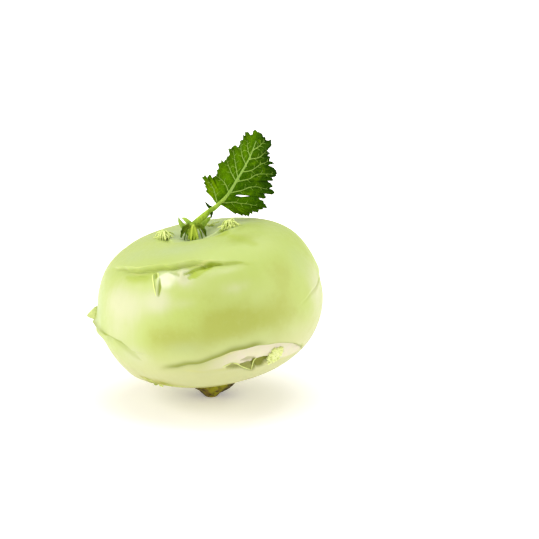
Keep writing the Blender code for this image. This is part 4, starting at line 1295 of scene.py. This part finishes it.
def leaflet(shape, at, azimuth, length, width, droop, twist):
    """A young leaf that rises from the core and droops over, folded along its midrib."""
    out, level = around(azimuth)
    shares = [step / 15.0 for step in range(16)]
    centres = []
    for share in shares:
        rise = LEAFLET_RISE * math.sin(share * 2.4) - droop * LEAFLET_DROP * share**2
        reach = LEAFLET_FOOT + (length - LEAFLET_FOOT) * share
        centres.append(at + out * reach + UP * rise)
    steps = [step / 4.0 for step in range(-4, 5)]
    vertices, tints = [], []
    for centre, along, share in zip(centres, directions(centres), shares):
        tooth = 1.0 + 0.16 * math.sin(share * 34.0 + azimuth)
        half = width * math.sin(math.pi * (0.14 + 0.8 * share)) * tooth
        across = Matrix.Rotation(math.radians(twist) * share**0.5, 3, along) @ level
        facing = along.cross(across)
        for face in (1, -1):
            for step in steps[::face]:
                fold = 0.28 * half * abs(step)
                thick = LEAFLET_THICKNESS * face * (1.15 - abs(step))
                vertices.append(centre + across * (half * step) + facing * (fold + thick))
                rib = max(0.0, 0.9 - 3.6 * abs(step)) + 0.75 * (1.0 - share) ** 2
                tints.append(min(1.0, rib))
    shape.add(vertices, closed_faces(len(shares), 2 * len(steps)), rib=tints)


def pale_strand(shape, foot, height_over, azimuth, draw):
    """A pale strand that arches out of the sprout's top and hangs down its front."""
    out, _ = around(azimuth)
    length = draw.uniform(2.3, 4.4) * MM
    crest = foot + UP * (SPROUT_HEIGHT + draw.uniform(0.0, 0.7) * MM) + out * (0.28 * length)
    elbow = foot + UP * (0.55 * SPROUT_HEIGHT) + out * (0.72 * length)
    end = foot + out * length
    end.z = height_over(end.x, end.y) + 0.25 * MM
    shares = np.linspace(0.0, 1.0, 14)
    path = curve_through([foot + UP * (0.6 * SPROUT_HEIGHT), crest, elbow, end], len(shares))
    tints = np.clip(0.6 + shares + draw.uniform(-0.25, 0.3), 0.0, 1.0)
    radii = np.interp(shares, *STRAND_RADII) * MM * draw.uniform(0.8, 1.2)
    shape.tube(path, radii, 8, 0.6, rib=tints)


def crown_sprout(height_over):
    """Dark leaflets that droop from the growing point, with pale strands between them."""
    draw = random.Random(7)
    shape = Shape("rib")
    foot = skin_frame(SPROUT_AZIMUTH, SPROUT_ARC)[0]
    foot.z = height_over(foot.x, foot.y)
    core = curve_through([foot + UP * height for height in SPROUT_HEIGHTS], 14)
    radii = [SPROUT_RADIUS * (1.0 - 0.6 * (step / 13.0) ** 2) for step in range(14)]
    shape.tube(core, radii, 16, rib=0.55)
    for azimuth, length, width, droop, twist in LEAFLETS:
        start = foot + UP * LEAFLET_START
        leaflet(shape, start, azimuth, length * MM, width * MM, droop, twist)
    for step in range(STRANDS):
        azimuth = STRAND_SPREAD * (step / (STRANDS - 1) - 0.5) + draw.uniform(-5.0, 5.0)
        pale_strand(shape, foot, height_over, azimuth, draw)
    return shape.piece("crown_leaflets", sprout_material(), "sprout_green", "crown_sprout")


# Materials


# Colours of the skin, the torn fibres, the root, the leaf, the sprout and the floor (linear RGB).
PALE_SKIN = (0.52, 0.60, 0.22)
# Cream of paler skin, also a painted highlight.
CREAM_SKIN_AND_HIGHLIGHT = (0.60, 0.625, 0.36)
GREEN_SKIN = (0.46, 0.56, 0.13)
# Olive of the skin, also painted shade.
OLIVE_SKIN_AND_SHADE = (0.40, 0.45, 0.075)
LOWER_SKIN = (0.58, 0.59, 0.295)
# Grey of the wax bloom, also a painted reflection.
WAX_GREY_AND_REFLECTION = (0.47, 0.56, 0.27)
# Deeper yellow green under the ridges, also painted shade.
GROOVE_GREEN_AND_SHADE = (0.33, 0.41, 0.05)
# Deeper green, also painted shade under the lips and below the crown's tuft.
DEEP_GREEN_AND_SHADE = (0.38, 0.48, 0.045)
# Yellow olive of the lowest scars, also painted shade on the underside.
STRAW_OLIVE_AND_SHADE = (0.41, 0.405, 0.07)
# Painted shade along the folds.
CREASE_SHADE_OLIVE = (0.21, 0.25, 0.010)
# Painted shadow in the crown's hollow.
HOLLOW_SHADOW_GREY = (0.30, 0.36, 0.19)
SHADE_GREEN = (0.25, 0.33, 0.002)
FACE_FLESH = (0.69, 0.67, 0.45)
FACE_FLESH_PINK = (0.71, 0.65, 0.50)
# Yellow of torn skin's edges, also a painted highlight along the ridges' lips.
RIM_YELLOW_AND_HIGHLIGHT = (0.62, 0.62, 0.20)
TORN_FLESH = (0.73, 0.77, 0.50)
# Olive in the cavities, deepened into painted shade.
PIT_SHADE_OLIVE = (0.19, 0.21, 0.0)
FIBRE_FOOT = (0.26, 0.34, 0.03)
FIBRE_GREEN = (0.38, 0.47, 0.06)
FIBRE_TIP = (0.74, 0.84, 0.27)
FIBRE_WHITE = (0.76, 0.78, 0.46)
FIBRE_STRAW = (0.55, 0.50, 0.16)
BARK_BROWN = (0.18, 0.12, 0.016)
BARK_OLIVE = (0.33, 0.315, 0.008)
BARK_DARK = (0.035, 0.02, 0.008)
BARK_SCUFF = (0.36, 0.27, 0.06)
NECK_GREEN = (0.40, 0.42, 0.02)
LEAF_DEEP = (0.042, 0.13, 0.0)
LEAF_GREEN = (0.07, 0.185, 0.0)
# Brighter leaf green, also painted light.
LEAF_BRIGHT_AND_LIT = (0.12, 0.26, 0.0)
LEAF_SHADE = (0.028, 0.085, 0.0)
# Painted shade at the leaf's upper right edge.
LEAF_RIM_SHADE = (0.012, 0.045, 0.001)
LEAF_YELLOW = (0.19, 0.35, 0.0)
LEAF_NET = (0.17, 0.31, 0.008)
STALK_GREEN = (0.21, 0.35, 0.008)
STALK_BRIGHT = (0.41, 0.58, 0.035)
VEIN_PALE = (0.26, 0.43, 0.06)
SPROUT_DARK = (0.05, 0.10, 0.003)
SPROUT_GREEN = (0.13, 0.24, 0.003)
SPROUT_PALE = (0.52, 0.65, 0.07)
FLOOR_WHITE = (0.92, 0.90, 0.915)
FLOOR_WARM = (0.92, 0.89, 0.90)

# What is painted over the skin, from the bottom up: the tint that says where, and the colour.
FOLD_PAINTS = (
    # painted shadow in the crown's hollow
    ("hollow_shadow", HOLLOW_SHADOW_GREY),
    # deeper green and painted shade
    ("deep_green_and_shade", DEEP_GREEN_AND_SHADE),
    # yellow olive and painted shade
    ("straw_and_shade", STRAW_OLIVE_AND_SHADE),
    # painted shade along the folds
    ("crease_shade", CREASE_SHADE_OLIVE),
)
TORN_PAINTS = (
    ("patch", TORN_FLESH),
    ("shade", SHADE_GREEN),
    # torn yellow edges and painted highlights
    ("rim", RIM_YELLOW_AND_HIGHLIGHT),
    # painted shade in the cavities
    ("pit_shade", PIT_SHADE_OLIVE),
)


class Nodes:
    """A material's node tree: paints laid over one another, with short calls for its nodes.

    Wherever a call takes a value, it may be a socket, a number or the name of a mesh's tint.
    """

    def __init__(self, name, colour):
        self.material = bpy.data.materials.new(name)
        self.material.use_nodes = True
        self.tree = self.material.node_tree
        self.shader = self.tree.nodes["Principled BSDF"]
        self.place = self.add("ShaderNodeTexCoord").outputs["Object"]
        self.colour = colour

    def add(self, kind, **settings):
        node = self.tree.nodes.new(kind)
        for name, value in settings.items():
            setattr(node, name, value)
        return node

    def link(self, source, target):
        if isinstance(source, str):
            source = self.add("ShaderNodeAttribute", attribute_name=source).outputs["Fac"]
        if hasattr(source, "is_output"):
            self.tree.links.new(source, target)
        else:
            target.default_value = source

    def noise(self, scale, detail=3.0, roughness=0.55, stretch=None):
        """Noise with its scale in features for each metre."""
        node = self.add("ShaderNodeTexNoise")
        for name, number in (("Scale", scale), ("Detail", detail), ("Roughness", roughness)):
            node.inputs[name].default_value = number
        place = self.place
        if stretch:
            mapping = self.add("ShaderNodeMapping")
            mapping.inputs["Scale"].default_value = stretch
            self.link(place, mapping.inputs["Vector"])
            place = mapping.outputs["Vector"]
        self.link(place, node.inputs["Vector"])
        return node.outputs["Fac"]

    def cell_edges(self, scale):
        """The distance to the edges of small cells: 0 on an edge."""
        node = self.add("ShaderNodeTexVoronoi", feature="DISTANCE_TO_EDGE")
        node.inputs["Scale"].default_value = scale
        self.link(self.place, node.inputs["Vector"])
        return node.outputs["Distance"]

    def ranged(self, value, low, high, to_low=0.0, to_high=1.0):
        """The value eased from one range to another one."""
        node = self.add("ShaderNodeMapRange", interpolation_type="SMOOTHSTEP")
        self.link(value, node.inputs["Value"])
        bounds = (low, high, to_low, to_high)
        for name, number in zip(("From Min", "From Max", "To Min", "To Max"), bounds):
            node.inputs[name].default_value = number
        return node.outputs["Result"]

    def maths(self, operation, a, b):
        node = self.add("ShaderNodeMath", operation=operation)
        self.link(a, node.inputs[0])
        self.link(b, node.inputs[1])
        return node.outputs[0]

    def times(self, a, b):
        return self.maths("MULTIPLY", a, b)

    def plus(self, a, b):
        return self.maths("ADD", a, b)

    def mix(self, share, a, b):
        node = self.add("ShaderNodeMix", data_type="RGBA")
        self.link(share, node.inputs["Factor"])
        for value, name in ((a, 6), (b, 7)):
            colour = (*value, 1.0) if isinstance(value, tuple) else value
            self.link(colour, node.inputs[name])
        return node.outputs[2]

    def paint(self, share, colour):
        """Lay a share of a colour over what is painted so far."""
        self.colour = self.mix(share, self.colour, colour)

    def bump(self, height, distance, strength):
        node = self.add("ShaderNodeBump")
        node.inputs["Strength"].default_value = strength
        node.inputs["Distance"].default_value = distance
        self.link(height, node.inputs["Height"])
        self.link(node.outputs["Normal"], self.shader.inputs["Normal"])

    def finish(self, roughness, specular):
        self.link(self.colour, self.shader.inputs["Base Color"])
        self.link(roughness, self.shader.inputs["Roughness"])
        self.shader.inputs["Specular IOR Level"].default_value = specular
        return self.material


def skin_material():
    """Waxy pale green skin with painted highlights, deeper with painted shade under the ridges,
    grey wax and a painted reflection at the crown, white where torn.
    """
    nodes = Nodes("waxy_skin", GREEN_SKIN)
    blotches = nodes.noise(75.0, 4.0, 0.6)
    fine = nodes.noise(420.0, 4.0, 0.6)
    streaks = nodes.noise(130.0, 3.0, 0.6, (1.0, 1.0, 0.22))
    nodes.paint(nodes.ranged(nodes.noise(26.0, 2.0), 0.35, 0.68, 0.0, 0.5), PALE_SKIN)
    # The olive tint paints shade as well as olive skin.
    olive = nodes.plus("olive", nodes.ranged(blotches, 0.4, 0.7, -0.15, 0.2))
    nodes.paint(nodes.ranged(olive, 0.0, 1.0), OLIVE_SKIN_AND_SHADE)
    # The pale tint and its streaks paint highlights as well as paler skin.
    pale = nodes.plus("pale", nodes.ranged(streaks, 0.4, 0.75, -0.05, 0.1))
    nodes.paint(nodes.ranged(pale, 0.0, 1.0), CREAM_SKIN_AND_HIGHLIGHT)
    nodes.paint(nodes.ranged(fine, 0.5, 0.8, 0.0, 0.15), PALE_SKIN)
    nodes.paint(nodes.ranged("height", 0.50, 0.65, 0.0, 0.85), LOWER_SKIN)
    # Grey wax bloom and painted reflection at the crown.
    nodes.paint(nodes.times("crown", 0.8), WAX_GREY_AND_REFLECTION)
    # Deeper green and painted shade under the ridges.
    nodes.paint(nodes.times("groove", 0.45), GROOVE_GREEN_AND_SHADE)
    for tint, colour in FOLD_PAINTS:
        nodes.paint(tint, colour)
    grain = nodes.ranged(nodes.noise(260.0, 3.0), 0.35, 0.7)
    nodes.paint("face", nodes.mix(grain, FACE_FLESH, FACE_FLESH_PINK))
    for tint, colour in TORN_PAINTS:
        nodes.paint(tint, colour)
    nodes.bump(nodes.plus(fine, nodes.times(blotches, 1.5)), 0.00012, 0.55)
    nodes.shader.inputs["Subsurface Weight"].default_value = 0.12
    nodes.shader.inputs["Subsurface Radius"].default_value = (1.0, 0.8, 0.35)
    nodes.shader.inputs["Subsurface Scale"].default_value = 0.003
    return nodes.finish(nodes.ranged(fine, 0.3, 0.75, 0.38, 0.54), 0.45)


def fibre_material():
    """Torn fibre: olive at the foot and pale yellow green at the frayed tips."""
    nodes = Nodes("torn_fibre", FIBRE_FOOT)
    grain = nodes.noise(900.0, 3.0)
    nodes.paint(nodes.ranged(grain, 0.4, 0.65), FIBRE_GREEN)
    nodes.paint(nodes.ranged("tip", 0.15, 0.8), FIBRE_TIP)
    nodes.paint(nodes.times("dry", 0.25), FIBRE_STRAW)
    nodes.paint("white", FIBRE_WHITE)
    nodes.bump(grain, 0.0001, 0.6)
    return nodes.finish(nodes.ranged(grain, 0.3, 0.7, 0.45, 0.65), 0.35)


def root_material():
    """Root bark: olive in the middle, green at its neck, darker in patches and towards its left and
    right sides, with pale scuffs.
    """
    nodes = Nodes("root_bark", BARK_BROWN)
    grain = nodes.noise(700.0, 5.0, 0.65)
    streaks = nodes.noise(260.0, 4.0, 0.6, (1.0, 1.0, 0.3))
    nodes.paint(nodes.ranged(streaks, 0.38, 0.62), BARK_OLIVE)
    nodes.paint(nodes.ranged("bark", 0.15, 0.5, 0.8, 0.0), BARK_DARK)
    nodes.paint(nodes.times("neck", 0.9), NECK_GREEN)
    # Darker towards the left and right sides.
    darker_sides = nodes.plus("edge", nodes.ranged(streaks, 0.3, 0.7, -0.2, 0.2))
    nodes.paint(nodes.ranged(darker_sides, 0.4, 0.85, 0.0, 0.92), BARK_DARK)
    nodes.paint(nodes.ranged(grain, 0.55, 0.75, 0.0, 0.5), BARK_SCUFF)
    nodes.bump(nodes.plus(grain, streaks), 0.0004, 0.8)
    return nodes.finish(nodes.ranged(grain, 0.3, 0.7, 0.7, 0.95), 0.25)


def blade_material():
    """Leaf green: painted light makes the left half brighter, painted shade makes the upper right
    edge darkest; finely netted.
    """
    nodes = Nodes("leaf_blade", LEAF_DEEP)
    cells = nodes.noise(420.0, 4.0, 0.6)
    broad = nodes.noise(130.0, 2.0)
    net = nodes.cell_edges(760.0)
    nodes.paint(nodes.ranged(broad, 0.38, 0.66), LEAF_GREEN)
    # Painted light: the left half brighter.
    nodes.paint(nodes.ranged("half", 0.62, 0.10, 0.0, 0.6), LEAF_BRIGHT_AND_LIT)
    # Painted shade over the upper right.
    upper = nodes.times(nodes.ranged("rise", 0.22, 0.55), nodes.ranged("half", 0.4, 0.8))
    nodes.paint(nodes.times(upper, 0.9), LEAF_SHADE)
    lower = nodes.times(nodes.ranged("rise", 0.24, 0.10), nodes.ranged("half", 0.5, 0.85))
    nodes.paint(lower, LEAF_BRIGHT_AND_LIT)
    lobe = nodes.times(nodes.ranged("rise", 0.34, 0.16), nodes.ranged("half", 0.45, 0.2))
    nodes.paint(nodes.times(lobe, nodes.ranged("rim", 0.95, 0.7)), LEAF_YELLOW)
    nodes.paint(nodes.ranged(cells, 0.46, 0.72, 0.0, 0.7), LEAF_BRIGHT_AND_LIT)
    nodes.paint(nodes.ranged(net, 0.0, 0.08, 0.2, 0.0), LEAF_NET)
    # Painted shade beside the veins.
    nodes.paint(nodes.times("near", nodes.ranged(broad, 0.3, 0.6, 0.15, 0.55)), LEAF_SHADE)
    # Painted shade, darkest at the upper right edge.
    edge = nodes.times(nodes.ranged("rim", 0.55, 1.0), nodes.ranged("half", 0.3, 1.0, 0.45, 1.0))
    nodes.paint(nodes.times(edge, nodes.ranged("rise", 0.1, 0.7, 0.6, 1.0)), LEAF_RIM_SHADE)
    nodes.bump(nodes.plus(cells, nodes.ranged(net, 0.0, 0.3)), 0.0003, 0.8)
    return nodes.finish(nodes.ranged(cells, 0.3, 0.7, 0.55, 0.7), 0.02)


def stalk_material():
    """The petiole's bright green, which pales to the colour of the veins."""
    nodes = Nodes("leaf_stalk", STALK_GREEN)
    grain = nodes.noise(500.0, 3.0, 0.6, (1.0, 1.0, 0.3))
    nodes.paint(nodes.ranged(grain, 0.38, 0.62), STALK_BRIGHT)
    nodes.paint("vein", VEIN_PALE)
    nodes.bump(grain, 0.0001, 0.5)
    return nodes.finish(nodes.ranged(grain, 0.3, 0.7, 0.4, 0.55), 0.4)


def sprout_material():
    """Young leaves: dark green blades with pale ribs."""
    nodes = Nodes("crown_leaflets", SPROUT_DARK)
    grain = nodes.noise(800.0, 3.0)
    nodes.paint(nodes.ranged(grain, 0.35, 0.7), SPROUT_GREEN)
    nodes.paint("rib", SPROUT_PALE)
    nodes.bump(grain, 0.0001, 0.5)
    return nodes.finish(nodes.ranged(grain, 0.3, 0.7, 0.5, 0.65), 0.12)


def floor_material():
    """White floor that glows a little away from the object, as one under wide studio lights."""
    nodes = Nodes("studio_floor", FLOOR_WHITE)
    nodes.paint(nodes.ranged(nodes.noise(12.0, 2.0), 0.3, 0.7), FLOOR_WARM)
    length = nodes.add("ShaderNodeVectorMath", operation="LENGTH")
    nodes.link(nodes.place, length.inputs[0])
    glow = nodes.ranged(length.outputs["Value"], *FLOOR_GLOW)
    nodes.link(glow, nodes.shader.inputs["Emission Strength"])
    nodes.shader.inputs["Emission Color"].default_value = GLOW_WARM
    return nodes.finish(0.9, 0.1)


# Stage, light and camera

FLOOR_HALF = 9.0
FLOOR_GLOW = (0.05, 0.5, 0.25, 1.0)  # metres from the object, and the glow at both distances
GLOW_WARM = (1.0, 0.96, 0.93, 1.0)
WORLD_COLOUR = (1.0, 0.98, 0.955, 1.0)
WORLD_SHARE = 0.45

# Each soft light: azimuth, elevation, distance, size, share of full white and colour.
LIGHTS = {
    "key": (-68.0, 26.0, 0.8, 0.7, 0.66, (1.0, 0.985, 0.96)),
    "top": (150.0, 78.0, 1.1, 1.1, 0.72, (0.96, 0.99, 1.0)),
    "fill": (80.0, 20.0, 0.9, 0.7, 0.40, (1.0, 0.98, 0.95)),
}


def stage():
    """A wide pale floor."""
    half = FLOOR_HALF
    mesh = bpy.data.meshes.new("studio_floor")
    corners = [(-half, -half, 0.0), (half, -half, 0.0), (half, half, 0.0), (-half, half, 0.0)]
    mesh.from_pydata(corners, [], [(0, 1, 2, 3)])
    mesh.materials.append(floor_material())
    floor = bpy.data.objects.new("studio_floor", mesh)
    bpy.context.scene.collection.objects.link(floor)


def softbox(name, azimuth, elevation, distance, size, share, colour):
    """A soft light aimed at the bulb, as bright there as a share of full white."""
    light = bpy.data.lights.new(name, "AREA")
    light.shape = "SQUARE"
    light.size = size
    light.energy = share * (math.pi * distance) ** 2
    light.color = colour
    obj = bpy.data.objects.new(name, light)
    bpy.context.scene.collection.objects.link(obj)
    rise = math.radians(elevation)
    away = around(azimuth)[0] * math.cos(rise) + UP * math.sin(rise)
    obj.location = BULB_CENTRE + away * distance
    obj.rotation_euler = away.to_track_quat("Z", "Y").to_euler()


def lights():
    for name, settings in LIGHTS.items():
        softbox(name, *settings)
    world = bpy.data.worlds.new("studio_world")
    world.use_nodes = True
    background = world.node_tree.nodes["Background"]
    background.inputs["Color"].default_value = WORLD_COLOUR
    background.inputs["Strength"].default_value = WORLD_SHARE
    bpy.context.scene.world = world
    bpy.context.scene.view_settings.view_transform = "Standard"


def camera():
    """The camera aims so that the bulb's centre falls on its pixel of the photograph."""
    focal = PIXELS_PER_METRE * CAMERA_DISTANCE
    data = bpy.data.cameras.new("camera")
    data.sensor_width = SENSOR_WIDTH
    data.lens = focal / PHOTO_SIZE * SENSOR_WIDTH
    back = Vector((0.0, -math.cos(CAMERA_ELEVATION), math.sin(CAMERA_ELEVATION)))
    right_of = (BULB_PIXEL[0] - PHOTO_SIZE / 2.0) / focal
    above = (PHOTO_SIZE / 2.0 - BULB_PIXEL[1]) / focal
    yaw = Matrix.Rotation(math.atan(right_of), 4, "Z")
    pitch = Matrix.Rotation(-math.atan(above), 4, "X")
    look = (-back).to_track_quat("-Z", "Y").to_matrix().to_4x4()
    obj = bpy.data.objects.new("camera", data)
    bpy.context.scene.collection.objects.link(obj)
    place = Matrix.Translation(BULB_CENTRE + back * CAMERA_DISTANCE)
    obj.matrix_world = place @ yaw @ look @ pitch
    bpy.context.scene.camera = obj


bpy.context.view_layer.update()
stage()
lights()
camera()
bulb_skin = stem_skin()
torn_ends()
root_stub()
leaf_stalk(leaf_blade())
crown_sprout(sprout_height(bulb_skin))
